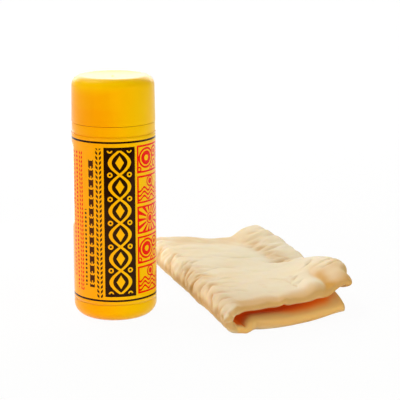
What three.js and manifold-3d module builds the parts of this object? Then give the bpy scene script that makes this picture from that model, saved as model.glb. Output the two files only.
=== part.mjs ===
// A folded synthetic chamois cloth and the screw-capped canister that keeps it damp.
// Lengths are in millimetres, +Z is up, and the origin is the centre of the canister's flat base.
import * as THREE from "three";
import { mergeVertices } from "three/addons/utils/BufferGeometryUtils.js";
import Module from "manifold-3d";

// Facets and clearances
const ROUND_STEPS = 48; // facets round the canister, its label and its cap
const CORNER_STEPS = 3; // each rounded corner has twice as many facets
const FIT_GAP = 0.3; // clearance between neighbouring pieces
const WELD_DISTANCE = 0.0001; // vertices closer than this are one vertex

// Canister body, from the base up
const BODY_RADIUS = 32.85;
const BODY_WALL = 1.5;
const BASE_FLOOR = 1.8;
const BASE_CORNER = 9.8;
const BASE_BAND_HEIGHT = 14.2;
const LABEL_SEAT_HEIGHT = 134;
const LABEL_RECESS = 0.45;
const SHOULDER_BAND_HEIGHT = 7.6;
const SHOULDER_BAND_STEP = 0.4;
const SHOULDER_EDGE = 0.8;
const NECK_SETBACK = 3.65;
const NECK_WALL = 1.6;
const NECK_HEIGHT = 15.8;
const NECK_EDGE = 0.5;

// Screw thread, shared by the neck and the cap
const THREAD_STARTS = 2;
const THREAD_LEAD = 8; // rise in one whole turn
const THREAD_TURNS = 0.95; // turns that each start makes
const THREAD_DEPTH = 1.4;
const THREAD_ROOT_WIDTH = 1.9;
const THREAD_CREST_WIDTH = 0.9;
const THREAD_CREST_GAP = 0.4; // from a crest to the wall that it faces
const THREAD_ROOTING = 0.6; // how deep a thread is rooted in its wall
const THREAD_RUNOUT_SHARE = 0.12; // share of a start over which it fades in, and out again
const THREAD_TIP_SHARE = 0.1; // share of the full height left at the very tip
const NECK_THREAD_RISE = 5; // from the shoulder to the lowest centre of the neck's thread
const CAP_THREAD_RISE = 2.2; // from the cap's lip to the lowest centre of the cap's thread

// Cap
const CAP_WALL = 1.8;
const CAP_ROOF = 1.8;
const CAP_HEIGHT = 35.9;
const CAP_DRAFT = 0.45; // how much smaller the cap's radius is at the top
const CAP_CORNER = 8;
const CAP_LIP_EDGE = 0.6;
const CAP_DISH = 1.2; // how far the middle of the top lies below its rim
const GATE_RADIUS = 1.1; // moulding gate in the middle of the top
const GATE_HEIGHT = 0.4;
const LEDGE_REACH = 2.6; // ledge inside the cap that holds the seal down
const LEDGE_THICKNESS = 1.4;

// Seal ring between the neck's rim and the cap's ledge
const SEAL_WIDTH = 2.8;
const SEAL_THICKNESS = 1.6;
const SEAL_EDGE = 0.4;

// Label, a film wrapped round the body with its ends lapped at the back
const LABEL_THICKNESS = 0.3;
const LABEL_LAP = 9;
const LABEL_LAP_GAP = 0.15;
const LABEL_LAP_RAMP = 4; // length over which the upper end climbs over the lower one

// Cloth, as a flat sheet
const CLOTH_LENGTH = 430;
const CLOTH_WIDTH = 320;
const CLOTH_THICKNESS = 2;

// Cloth, as it lies folded: doubled across its length, then folded in three across its width
const CLOTH_CORNER_X = 82; // near left corner of the folded block
const CLOTH_CORNER_Y = -60.5;
const CLOTH_TURN = 14.4; // degrees from the canister's Y axis
const LAYER_GAP = 0.6; // air between two layers of the doubled sheet
const PAIR_GAP = 1.7; // air between the turned-in panel and the top panel
const FOLD_WIDTH = 104;
const FOLD_REACH = 8.5; // how far the left fold reaches out from where the panels end
const TOP_HEIGHT = 20.2; // height of the middle of the top panel
const BULB_RADIUS = 4.4; // loose roll where the sheet turns under at the right
const BULB_FADE = 30; // length over which the turned panel closes up to the top panel
const LOW_CREASE = 2.1; // half height of the near crease in each panel
const BEND_CREASE = 2.3;
const TOP_CREASE = 3.4;
const TUCK_CREASE = 1.9;
const CREASE_FADE = 26; // length over which a crease closes up to the flat pair
const CREASE_OPENING = 2; // extra air under the top panel at its near crease
const LOW_RECESS = 6; // how far the lowest panel's near edge runs back at its right end
const TOP_RECESS = 10; // the same for the top panel
const TUCK_RECESS = 13; // how far the turned panel is set back behind the near edge
const CORNER_REACH = 5; // how far the left fold stands out at the near edge
const LOW_LIFT = 7; // lift of the lowest panel's right end
const LOW_LIFT_WIDTH = 55;
const LOW_LIFT_LENGTH = 110;
const TOP_OVERHANG = 6; // from the fold's width to the middle of the loose roll
const NEAR_DRAW = 5; // how far the roll draws in at its near end
const NEAR_DRAW_LENGTH = 90;
const BACK_DRAW = 4; // how far the roll draws in at the back
const BACK_DRAW_LENGTH = 40;
const VALLEY_DEPTH = 2.4; // furrow along the top, inside the loose roll
const VALLEY_WIDTH = 9;
const VALLEY_PLACE = 83; // from the left edge to the furrow
const VALLEY_START = 90; // from the near edge to where the furrow begins

// Rises and dips of the top panel. Each row has a place across and along the block, a reach
// across and along it, as shares of the fold's width and of half the sheet's length, and a rise
// as a share of the top height.
const TOP_FORM_SHARES = [
  [1.07, 0.2, 0.25, 0.23, 0.69],
  [1.04, 0.55, 0.17, 0.095, -0.22],
  [1.0, 1.0, 0.13, 0.12, 0.22],
  [0.64, 1.0, 0.27, 0.22, -0.31],
  [0.26, 0.05, 0.3, 0.12, -0.05],
  [0.36, 0.5, 0.3, 0.3, 0.07],
];

// Facets of the cloth, panel by panel and away from the near crease
const LOW_STEPS = 3;
const BEND_STEPS = 6;
const TOP_STEPS = 8;
const BULB_STEPS = 5;
const TUCK_STEPS = 4;
const CREASE_STEPS = 3;
const FADE_STEPS = 2;
const PLAIN_STEPS = 6;
const SLOPE_STEP = 1; // step to either side for the slopes that set each point's normal

const wasm = await Module();
wasm.setup();

// Heights and radii that follow from the sizes above
const seatRadius = BODY_RADIUS - LABEL_RECESS;
const seatTop = BASE_BAND_HEIGHT + LABEL_SEAT_HEIGHT;
const shoulderRadius = BODY_RADIUS - SHOULDER_BAND_STEP;
const shoulderHeight = seatTop + SHOULDER_BAND_HEIGHT;
const neckRadius = BODY_RADIUS - NECK_SETBACK;
const neckBore = neckRadius - NECK_WALL;
const rimHeight = shoulderHeight + NECK_HEIGHT;
const boreRadius = seatRadius - BODY_WALL;
const neckCrest = neckRadius + THREAD_DEPTH;
const capBore = neckCrest + THREAD_CREST_GAP;
const capRadius = capBore + CAP_WALL;
const capBottom = shoulderHeight + FIT_GAP;
const capTop = capBottom + CAP_HEIGHT;
const sealBottom = rimHeight + FIT_GAP;
const ledgeBottom = sealBottom + SEAL_THICKNESS + FIT_GAP;

// A closed mesh as a solid that can be joined to another.
function solidOf(geometry) {
  const bare = new THREE.BufferGeometry();
  bare.setAttribute("position", geometry.getAttribute("position"));
  bare.setIndex(geometry.getIndex());
  const merged = mergeVertices(bare, WELD_DISTANCE);
  return new wasm.Manifold(
    new wasm.Mesh({
      numProp: 3,
      vertProperties: merged.getAttribute("position").array,
      triVerts: new Uint32Array(merged.getIndex().array),
    }),
  );
}

function geometryOf(solid) {
  const mesh = solid.getMesh();
  const geometry = new THREE.BufferGeometry();
  geometry.setAttribute("position", new THREE.BufferAttribute(mesh.vertProperties, mesh.numProp));
  geometry.setIndex(new THREE.BufferAttribute(mesh.triVerts, 1));
  geometry.computeVertexNormals();
  return geometry;
}

// Turns a profile, drawn as radius and height, round the Z axis.
function turned(profile) {
  const geometry = new THREE.LatheGeometry(profile.getPoints(CORNER_STEPS), ROUND_STEPS);
  geometry.rotateX(Math.PI / 2);
  return geometry;
}

// Closes two matching grids of points into one solid: the outer skin, the inner skin turned
// round, and a strip along each border. The two halves of a row are split into triangles as
// mirror images, so that layers folded onto each other match.
function solidBetween(outer, inner) {
  const rows = outer.length;
  const columns = outer[0].length;
  const far = rows * columns;
  const lastRow = rows - 1;
  const lastColumn = columns - 1;
  const at = (row, column) => row * columns + column;
  const faces = [];
  const quad = (a, b, c, d) => faces.push(a, b, c, a, c, d);
  for (let row = 0; row < lastRow; row += 1) {
    for (let column = 0; column < lastColumn; column += 1) {
      const corners = [
        at(row, column),
        at(row + 1, column),
        at(row + 1, column + 1),
        at(row, column + 1),
      ];
      const mirrored = 2 * column < lastColumn;
      const [a, b, c, d] = mirrored ? [...corners.slice(1), corners[0]] : corners;
      quad(a, b, c, d);
      quad(far + a, far + d, far + c, far + b);
    }
  }
  for (let column = 0; column < lastColumn; column += 1) {
    const next = column + 1;
    quad(at(0, column), at(0, next), far + at(0, next), far + at(0, column));
    quad(at(lastRow, next), at(lastRow, column), far + at(lastRow, column), far + at(lastRow, next));
  }
  for (let row = 0; row < lastRow; row += 1) {
    const next = row + 1;
    quad(at(next, 0), at(row, 0), far + at(row, 0), far + at(next, 0));
    quad(
      at(row, lastColumn),
      at(next, lastColumn),
      far + at(next, lastColumn),
      far + at(row, lastColumn),
    );
  }
  const geometry = new THREE.BufferGeometry();
  geometry.setFromPoints([...outer.flat(), ...inner.flat()]);
  geometry.setIndex(faces);
  geometry.computeVertexNormals();
  return geometry;
}

// One start of the thread. It stands on a wall of the root radius, and fades at both ends.
function threadStart(rootRadius, crestRadius, startTurn, startHeight) {
  const outward = Math.sign(crestRadius - rootRadius);
  const rooted = rootRadius - outward * THREAD_ROOTING;
  const steps = Math.round(THREAD_TURNS * ROUND_STEPS);
  const crest = [];
  const root = [];
  for (let step = 0; step <= steps; step += 1) {
    const share = step / steps;
    const turn = step / ROUND_STEPS;
    const angle = 2 * Math.PI * (startTurn + turn);
    const height = startHeight + THREAD_LEAD * turn;
    const fade = Math.min(1, Math.min(share, 1 - share) / THREAD_RUNOUT_SHARE);
    const full = THREAD_TIP_SHARE + (1 - THREAD_TIP_SHARE) * fade;
    const radius = rooted + (crestRadius - rooted) * full;
    const across = [-1, 1].map((side) => side * outward);
    const point = (r, z) => new THREE.Vector3(r * Math.cos(angle), r * Math.sin(angle), z);
    crest.push(across.map((side) => point(radius, height + (side * THREAD_CREST_WIDTH) / 2)));
    root.push(across.map((side) => point(rooted, height + (side * THREAD_ROOT_WIDTH) / 2)));
  }
  return solidOf(solidBetween(crest, root));
}

function withThread(solid, rootRadius, crestRadius, startTurn, startHeight) {
  let threaded = solid;
  for (let start = 0; start < THREAD_STARTS; start += 1) {
    const turn = startTurn + start / THREAD_STARTS;
    threaded = threaded.add(threadStart(rootRadius, crestRadius, turn, startHeight));
  }
  return threaded;
}

function canisterBody() {
  const innerCorner = BASE_CORNER - BODY_WALL;
  const innerShoulder = shoulderHeight - BODY_WALL;
  const profile = new THREE.Path();
  profile.moveTo(0, 0);
  profile.lineTo(BODY_RADIUS - BASE_CORNER, 0);
  profile.absarc(BODY_RADIUS - BASE_CORNER, BASE_CORNER, BASE_CORNER, -Math.PI / 2, 0, false);
  profile.lineTo(BODY_RADIUS, BASE_BAND_HEIGHT);
  profile.lineTo(seatRadius, BASE_BAND_HEIGHT);
  profile.lineTo(seatRadius, seatTop);
  profile.lineTo(shoulderRadius, seatTop);
  profile.absarc(
    shoulderRadius - SHOULDER_EDGE,
    shoulderHeight - SHOULDER_EDGE,
    SHOULDER_EDGE,
    0,
    Math.PI / 2,
    false,
  );
  profile.lineTo(neckRadius, shoulderHeight);
  profile.absarc(neckRadius - NECK_EDGE, rimHeight - NECK_EDGE, NECK_EDGE, 0, Math.PI / 2, false);
  profile.lineTo(neckBore, rimHeight);
  profile.lineTo(neckBore, innerShoulder);
  profile.lineTo(boreRadius, innerShoulder - (boreRadius - neckBore));
  profile.absarc(
    boreRadius - innerCorner,
    BASE_FLOOR + innerCorner,
    innerCorner,
    0,
    -Math.PI / 2,
    true,
  );
  profile.lineTo(0, BASE_FLOOR);
  const shell = solidOf(turned(profile));
  return geometryOf(
    withThread(shell, neckRadius, neckCrest, 0, shoulderHeight + NECK_THREAD_RISE),
  );
}

// Height from the centre of a neck thread down to the centre of the cap thread that bears on it.
function threadOffset() {
  const narrowing = (THREAD_ROOT_WIDTH - THREAD_CREST_WIDTH) / THREAD_DEPTH;
  const facing = THREAD_DEPTH + THREAD_CREST_GAP;
  return THREAD_ROOT_WIDTH - (narrowing * facing) / 2 + FIT_GAP;
}

function canisterCap() {
  const topRadius = capRadius - CAP_DRAFT;
  const topBore = topRadius - CAP_WALL;
  const innerCorner = CAP_CORNER - CAP_WALL;
  const cornerHeight = capTop - CAP_CORNER;
  const ledgeTop = ledgeBottom + LEDGE_THICKNESS;
  const profile = new THREE.Path();
  profile.moveTo(0, capTop - CAP_DISH - CAP_ROOF);
  profile.lineTo(topRadius - CAP_CORNER, capTop - CAP_ROOF);
  profile.absarc(topBore - innerCorner, cornerHeight, innerCorner, Math.PI / 2, 0, true);
  profile.lineTo(capBore, ledgeTop);
  profile.lineTo(capBore - LEDGE_REACH, ledgeTop);
  profile.lineTo(capBore - LEDGE_REACH, ledgeBottom);
  profile.lineTo(capBore, ledgeBottom);
  profile.lineTo(capBore, capBottom);
  profile.absarc(
    capRadius - CAP_LIP_EDGE,
    capBottom + CAP_LIP_EDGE,
    CAP_LIP_EDGE,
    -Math.PI / 2,
    0,
    false,
  );
  profile.absarc(topRadius - CAP_CORNER, cornerHeight, CAP_CORNER, 0, Math.PI / 2, false);
  profile.quadraticCurveTo(
    (topRadius - CAP_CORNER) / 2,
    capTop - CAP_DISH,
    GATE_RADIUS,
    capTop - CAP_DISH,
  );
  profile.lineTo(GATE_RADIUS, capTop - CAP_DISH + GATE_HEIGHT);
  profile.lineTo(0, capTop - CAP_DISH + GATE_HEIGHT);
  const shell = solidOf(turned(profile));
  const lowest = capBottom + CAP_THREAD_RISE;
  const neckLowest = shoulderHeight + NECK_THREAD_RISE;
  const facet = Math.round(((lowest + threadOffset() - neckLowest) / THREAD_LEAD) * ROUND_STEPS);
  const startTurn = facet / ROUND_STEPS;
  const startHeight = neckLowest + THREAD_LEAD * startTurn - threadOffset();
  return geometryOf(withThread(shell, capBore, capBore - THREAD_DEPTH, startTurn, startHeight));
}

function capSeal() {
  const outer = capBore - FIT_GAP;
  const inner = outer - SEAL_WIDTH;
  const top = sealBottom + SEAL_THICKNESS;
  const profile = new THREE.Path();
  profile.moveTo(inner + SEAL_EDGE, sealBottom);
  profile.lineTo(outer - SEAL_EDGE, sealBottom);
  profile.lineTo(outer, sealBottom + SEAL_EDGE);
  profile.lineTo(outer, top - SEAL_EDGE);
  profile.lineTo(outer - SEAL_EDGE, top);
  profile.lineTo(inner + SEAL_EDGE, top);
  profile.lineTo(inner, top - SEAL_EDGE);
  profile.lineTo(inner, sealBottom + SEAL_EDGE);
  profile.lineTo(inner + SEAL_EDGE, sealBottom);
  return geometryOf(solidOf(turned(profile)));
}

// The film starts under its own end at the back, goes once round, and climbs over its start.
function canisterLabel() {
  const inner = seatRadius + FIT_GAP;
  const climb = LABEL_THICKNESS + LABEL_LAP_GAP;
  const back = Math.PI / 2;
  const lap = LABEL_LAP / inner;
  const ramp = LABEL_LAP_RAMP / inner;
  const facet = (2 * Math.PI) / ROUND_STEPS;
  const angles = [];
  for (let angle = 0; angle < 2 * Math.PI - ramp; angle += facet) {
    angles.push(angle);
  }
  angles.push(2 * Math.PI - ramp, 2 * Math.PI, 2 * Math.PI + lap / 2, 2 * Math.PI + lap);
  const radiusAt = (angle) => inner + climb * THREE.MathUtils.clamp(
    (angle - 2 * Math.PI + ramp) / ramp,
    0,
    1,
  );
  const edge = (angle, extra) => new THREE.Vector2(
    (radiusAt(angle) + extra) * Math.cos(back + angle - lap / 2),
    (radiusAt(angle) + extra) * Math.sin(back + angle - lap / 2),
  );
  const outside = angles.map((angle) => edge(angle, LABEL_THICKNESS));
  const inside = angles.map((angle) => edge(angle, 0)).reverse();
  const shape = new THREE.Shape([...outside, ...inside]);
  const depth = LABEL_SEAT_HEIGHT - 2 * FIT_GAP;
  const geometry = new THREE.ExtrudeGeometry(shape, { depth, bevelEnabled: false });
  geometry.translate(0, 0, BASE_BAND_HEIGHT + FIT_GAP);
  return geometry;
}

const mix = THREE.MathUtils.lerp;
const smooth = THREE.MathUtils.smoothstep;

// Lengths of the doubled sheet's five panels, from its lowest free edge to its turned-in edge.
const halfLength = CLOTH_LENGTH / 2;
const pairPitch = 2 * CLOTH_THICKNESS + LAYER_GAP + PAIR_GAP;
const flatHalf = (CLOTH_THICKNESS + LAYER_GAP) / 2;
const pairEdge = flatHalf + CLOTH_THICKNESS / 2;
const bendAcross = pairEdge + FOLD_REACH;
const lowRun = FOLD_WIDTH - bendAcross;
const bendRun = (Math.PI / 2) * (FOLD_REACH + TOP_HEIGHT / 2);
const topRun = FOLD_WIDTH + TOP_OVERHANG - bendAcross;
const bulbRun = Math.PI * BULB_RADIUS;
const tuckRun = CLOTH_WIDTH - lowRun - bendRun - topRun - bulbRun;
const bendStart = lowRun;
const topStart = bendStart + bendRun;
const bulbStart = topStart + topRun;
const tuckStart = bulbStart + bulbRun;

// Half the distance between the two layers at a distance from the near crease, how far the sheet
// has come from the crease, and how high the pair's middle stands over its lower layer.
function pairHalf(run, away) {
  const bend = smooth(run, bendStart - FOLD_REACH, bendStart + FOLD_REACH);
  const top = smooth(run, topStart - FOLD_REACH, topStart + FOLD_REACH);
  const bulb = smooth(run, bulbStart - BULB_FADE, bulbStart);
  const lowPart = mix(LOW_CREASE, BEND_CREASE, bend);
  const topPart = mix(lowPart, TOP_CREASE, top);
  const crease = mix(topPart, TUCK_CREASE, bulb);
  const quarter = (Math.PI / 2) * crease;
  if (away < quarter) {
    const angle = away / crease;
    const reach = crease * (1 - Math.cos(angle));
    return { half: crease * Math.sin(angle), reach, stand: crease };
  }
  const half = mix(crease, flatHalf, smooth(away, quarter, quarter + CREASE_FADE));
  return { half, reach: crease + away - quarter, stand: half };
}

// A rounded rise of one that fades to nothing past a reach on either side.
function rise(value, place, reach) {
  const share = (value - place) / reach;
  return Math.exp(-share * share);
}

// Where the sheet lies along the block, from the distance to the near crease.
function alongBlock(run, reach) {
  const lowRight = LOW_RECESS * smooth(-run, -LOW_LIFT_WIDTH, 0);
  const topRight = TOP_RECESS * smooth(run, bulbStart - LOW_LIFT_WIDTH, bulbStart);
  const leftCorner = CORNER_REACH * rise(run, bendStart + bendRun / 3, bendRun);
  const turnedIn = TUCK_RECESS * smooth(run, bulbStart, tuckStart + BULB_RADIUS);
  const fade = 1 - reach / halfLength;
  return reach + lowRight + topRight + (turnedIn - leftCorner) * fade;
}

function rollCentre(along) {
  const near = NEAR_DRAW * (1 - smooth(along, 0, NEAR_DRAW_LENGTH));
  const back = BACK_DRAW * smooth(along, halfLength - BACK_DRAW_LENGTH, halfLength);
  return FOLD_WIDTH + TOP_OVERHANG - near - back;
}

function topCentre(across, along) {
  let height = TOP_HEIGHT;
  for (const [acrossPlace, alongPlace, acrossReach, alongReach, riseShare] of TOP_FORM_SHARES) {
    const overWidth = rise(across, acrossPlace * FOLD_WIDTH, acrossReach * FOLD_WIDTH);
    const overLength = rise(along, alongPlace * halfLength, alongReach * halfLength);
    height += riseShare * TOP_HEIGHT * overWidth * overLength;
  }
  const open = smooth(along, VALLEY_START, VALLEY_START + 2 * VALLEY_WIDTH);
  return height - VALLEY_DEPTH * open * rise(across, VALLEY_PLACE, VALLEY_WIDTH);
}

function lowCentre(across, along, stand) {
  const rightEnd = smooth(across, FOLD_WIDTH - LOW_LIFT_WIDTH, FOLD_WIDTH);
  const nearEnd = 1 - smooth(along, 0, LOW_LIFT_LENGTH);
  return CLOTH_THICKNESS / 2 + stand + LOW_LIFT * rightEnd * nearEnd;
}

// The middle of the doubled sheet: its place across the block and its height.
function foldPath(run, along, stand) {
  if (run < bendStart) {
    const across = mix(FOLD_WIDTH, bendAcross, run / lowRun);
    return new THREE.Vector2(across, lowCentre(across, along, stand));
  }
  if (run < topStart) {
    const angle = (Math.PI * (run - bendStart)) / bendRun;
    const low = lowCentre(bendAcross, along, stand);
    const high = topCentre(bendAcross, along);
    const height = (low + high) / 2 - ((high - low) / 2) * Math.cos(angle);
    return new THREE.Vector2(bendAcross - FOLD_REACH * Math.sin(angle), height);
  }
  const right = rollCentre(along);
  if (run < bulbStart) {
    const across = mix(bendAcross, right, (run - topStart) / topRun);
    return new THREE.Vector2(across, topCentre(across, along));
  }
  const bulbCentre = topCentre(right, along) - BULB_RADIUS;
  if (run < tuckStart) {
    const angle = (run - bulbStart) / BULB_RADIUS;
    return new THREE.Vector2(
      right + BULB_RADIUS * Math.sin(angle),
      bulbCentre + BULB_RADIUS * Math.cos(angle),
    );
  }
  const inward = run - tuckStart;
  const across = right - inward;
  const open = CREASE_OPENING * (1 - smooth(along, CREASE_FADE, 2 * CREASE_FADE));
  const drop = mix(2 * BULB_RADIUS, pairPitch + open, smooth(inward, 0, BULB_FADE));
  return new THREE.Vector2(across, topCentre(across, along) - drop);
}

// A point in the middle of the sheet's thickness. length runs over the flat sheet's long side
// and run over its short side.
function clothPoint(length, run) {
  const side = length < halfLength ? 1 : -1;
  const { half, reach, stand } = pairHalf(run, Math.abs(length - halfLength));
  const along = alongBlock(run, reach);
  const centre = foldPath(run, along, stand);
  const ahead = foldPath(run + SLOPE_STEP, along, stand);
  const heading = ahead.sub(foldPath(run - SLOPE_STEP, along, stand)).normalize();
  const across = centre.x - side * half * heading.y;
  const height = centre.y + side * half * heading.x;
  return new THREE.Vector3(across, along, height);
}

function clothNormal(length, run) {
  const overLength = clothPoint(length + SLOPE_STEP, run).sub(clothPoint(length - SLOPE_STEP, run));
  const overRun = clothPoint(length, run + SLOPE_STEP).sub(clothPoint(length, run - SLOPE_STEP));
  return overLength.cross(overRun).normalize();
}

// Values from low to high in equal steps, without the last.
function spread(low, high, steps) {
  return Array.from({ length: steps }, (unused, step) => mix(low, high, step / steps));
}

function chamoisCloth() {
  const runs = [
    ...spread(0, bendStart, LOW_STEPS),
    ...spread(bendStart, topStart, BEND_STEPS),
    ...spread(topStart, bulbStart, TOP_STEPS),
    ...spread(bulbStart, tuckStart, BULB_STEPS),
    ...spread(tuckStart, CLOTH_WIDTH, TUCK_STEPS),
    CLOTH_WIDTH,
  ];
  const quarter = (Math.PI / 2) * TOP_CREASE;
  const away = [
    ...spread(0, quarter, CREASE_STEPS),
    ...spread(quarter, quarter + CREASE_FADE, FADE_STEPS),
    ...spread(quarter + CREASE_FADE, halfLength, PLAIN_STEPS),
    halfLength,
  ];
  const lengths = [
    ...away.slice(1).reverse().map((distance) => halfLength - distance),
    ...away.map((distance) => halfLength + distance),
  ];
  const skin = (side) => runs.map((run) => lengths.map((length) => {
    const normal = clothNormal(length, run);
    return clothPoint(length, run).addScaledVector(normal, (side * CLOTH_THICKNESS) / 2);
  }));
  return solidBetween(skin(-1), skin(1));
}

function plastic(color, roughness) {
  return new THREE.MeshStandardMaterial({ color, roughness, metalness: 0 });
}

function piece(name, geometry, material) {
  const mesh = new THREE.Mesh(geometry, material);
  mesh.name = name;
  return mesh;
}

const canister = new THREE.Group();
canister.add(piece("canister_body", canisterBody(), plastic("#f4aa01", 0.35)));
canister.add(piece("canister_label", canisterLabel(), plastic("#f8a801", 0.2)));

const cap = new THREE.Group();
cap.add(piece("canister_cap", canisterCap(), plastic("#f4aa01", 0.3)));
cap.add(piece("cap_seal", capSeal(), plastic("#f2ead8", 0.7)));

const cloth = piece("chamois_cloth", chamoisCloth(), plastic("#ecdbbc", 0.95));
cloth.position.set(CLOTH_CORNER_X, CLOTH_CORNER_Y, 0);
cloth.rotation.z = THREE.MathUtils.degToRad(CLOTH_TURN);

const part = new THREE.Group();
part.add(canister, cap, cloth);

export default part;
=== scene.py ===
"""A folded synthetic chamois cloth beside its screw-capped canister.

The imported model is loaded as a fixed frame, and every visible piece is made around it. Lengths
are in metres, +Z is up, and the origin is the centre of the canister's flat base.
"""
import math

import bpy
import numpy as np
from bpy.props import FloatProperty, FloatVectorProperty, IntProperty, PointerProperty
from mathutils import Matrix, Vector


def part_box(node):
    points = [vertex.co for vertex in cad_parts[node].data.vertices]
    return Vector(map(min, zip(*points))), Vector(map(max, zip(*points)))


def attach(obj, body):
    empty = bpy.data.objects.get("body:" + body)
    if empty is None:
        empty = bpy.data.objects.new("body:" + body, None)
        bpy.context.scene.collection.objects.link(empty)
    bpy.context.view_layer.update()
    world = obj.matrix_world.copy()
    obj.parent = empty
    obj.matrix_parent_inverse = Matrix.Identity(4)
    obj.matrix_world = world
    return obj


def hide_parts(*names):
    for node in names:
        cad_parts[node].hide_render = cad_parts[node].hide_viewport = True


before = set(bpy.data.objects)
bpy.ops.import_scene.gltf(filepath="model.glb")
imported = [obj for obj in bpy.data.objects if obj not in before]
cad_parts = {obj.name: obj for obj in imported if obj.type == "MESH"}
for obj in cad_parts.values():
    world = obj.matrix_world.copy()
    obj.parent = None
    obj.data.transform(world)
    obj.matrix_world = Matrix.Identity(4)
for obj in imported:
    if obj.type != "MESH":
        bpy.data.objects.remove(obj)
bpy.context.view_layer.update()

bl_info = {
    "name": "Chamois Cloth and Canister",
    "version": (1, 0, 0),
    "blender": (4, 5, 0),
    "location": "View3D > Sidebar > Chamois",
    "description": "A folded synthetic chamois cloth beside its screw-capped canister",
    "category": "Add Mesh",
}

MM = 0.001
BODY_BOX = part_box("canister_body")
LABEL_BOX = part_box("canister_label")
CAP_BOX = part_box("canister_cap")
SEAL_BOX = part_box("cap_seal")


def linear(code):
    """A linear colour with alpha from an sRGB hex code."""
    parts = [int(code[place:place + 2], 16) / 255 for place in (1, 3, 5)]
    return tuple(
        part / 12.92 if part <= 0.04045 else ((part + 0.055) / 1.055) ** 2.4 for part in parts
    ) + (1.0,)


def length_property(name, description, default):
    """A size that a user may change."""
    return FloatProperty(
        name=name, description=description, default=default, unit="LENGTH", precision=5)


def colour_property(name, description, code):
    """A colour that a user may change, given as an sRGB hex code."""
    return FloatVectorProperty(name=name, description=description, default=linear(code),
                               size=4, min=0.0, max=1.0, subtype="COLOR")


class CanisterSizes(bpy.types.PropertyGroup):
    """Sizes of the canister, its cap and its seal."""

    radius: length_property("Radius", "Outer radius of the base band", BODY_BOX[1].x)
    wall: length_property("Wall", "Wall of the tube", 1.5 * MM)
    floor: length_property("Floor", "Thickness of the base", 1.8 * MM)
    base_corner: length_property("Base corner", "Radius of the bottom corner", 9.8 * MM)
    seat_low: length_property("Label seat, low", "Lower end of the label's seat", 14.2 * MM)
    seat_high: length_property("Label seat, high", "Upper end of the label's seat", 148.2 * MM)
    seat_depth: length_property("Label seat depth", "Depth of the label's seat", 0.45 * MM)
    shoulder: length_property("Shoulder", "Height of the shoulder", 155.8 * MM)
    shoulder_step: length_property("Shoulder step", "Step in above the label", 0.25 * MM)
    neck_radius: length_property("Neck radius", "Outer radius of the neck", 29.2 * MM)
    neck_wall: length_property("Neck wall", "Wall of the neck", 1.6 * MM)
    rim: length_property("Rim", "Height of the neck's rim", BODY_BOX[1].z)
    foot_recess: length_property("Foot recess", "Hollow under the base", 0.6 * MM)
    foot_width: length_property("Foot width", "Width of the ring that it stands on", 3 * MM)
    thread_lead: length_property("Thread lead", "Rise of the thread in one turn", 8 * MM)
    thread_depth: length_property("Thread depth", "Height of the thread", 1.4 * MM)
    thread_root: length_property("Thread root", "Width of the thread's foot", 1.9 * MM)
    thread_crest: length_property("Thread crest", "Width of the thread's top", 0.9 * MM)
    thread_turns: FloatProperty(
        name="Thread turns", description="Turns of each start", default=0.95, min=0.1)
    thread_starts: IntProperty(
        name="Thread starts", description="How many threads run side by side", default=2, min=1)
    neck_thread: length_property("Neck thread", "Lowest middle of the neck's thread", 160.8 * MM)
    cap_thread: length_property("Cap thread", "Lowest middle of the cap's thread", 158.3 * MM)
    cap_radius: length_property("Cap radius", "Outer radius at the cap's lip", CAP_BOX[1].x)
    cap_low: length_property("Cap lip", "Height of the cap's lip", CAP_BOX[0].z)
    cap_high: length_property("Cap top", "Height of the cap's top edge", CAP_BOX[1].z)
    cap_wall: length_property("Cap wall", "Wall and roof of the cap", 1.8 * MM)
    cap_draft: length_property("Cap draft", "How much narrower the cap's top is", 0.45 * MM)
    cap_corner: length_property("Cap corner", "Radius of the cap's top corner", 8 * MM)
    cap_dish: length_property("Cap dish", "Depth of the hollow in the cap's top", 1.2 * MM)
    gate_radius: length_property("Gate", "Radius of the moulding gate", 1.1 * MM)
    ledge_reach: length_property("Ledge reach", "How far the seal's ledge reaches in", 2.6 * MM)
    ledge_low: length_property("Ledge", "Underside of the seal's ledge", 173.8 * MM)
    ledge_wall: length_property("Ledge wall", "Thickness of the seal's ledge", 1.4 * MM)
    seal_width: length_property("Seal width", "Width of the seal ring", 2.8 * MM)
    film: length_property("Film", "Thickness of the label", 0.16 * MM)
    lap: length_property("Lap", "Overlap of the label's ends", 9 * MM)


class ClothSizes(bpy.types.PropertyGroup):
    """Sizes of the cloth, flat and as it lies folded."""

    length: length_property("Length", "Long side of the flat sheet", 430 * MM)
    width: length_property("Width", "Short side of the flat sheet", 320 * MM)
    thickness: length_property("Thickness", "Thickness of the sheet", 2 * MM)
    corner: FloatVectorProperty(
        name="Corner", description="Near left corner of the folded block",
        default=(82 * MM, -60.5 * MM, 0), size=3, subtype="TRANSLATION")
    turn: FloatProperty(
        name="Turn", description="Turn of the block from the canister's Y axis",
        default=math.radians(14.4), subtype="ANGLE")
    fold_width: length_property("Fold width", "Width of the folded block", 104 * MM)
    fold_reach: length_property("Fold reach", "Reach of the left fold", 8.5 * MM)
    top_height: length_property("Top height", "Height of the top panel's middle", 20.2 * MM)
    roll_radius: length_property("Roll radius", "Radius of the loose roll", 4.4 * MM)
    wrinkle: FloatProperty(
        name="Wrinkles", description="Share of the wrinkles' full height", default=1.0, min=0.0)


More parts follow.
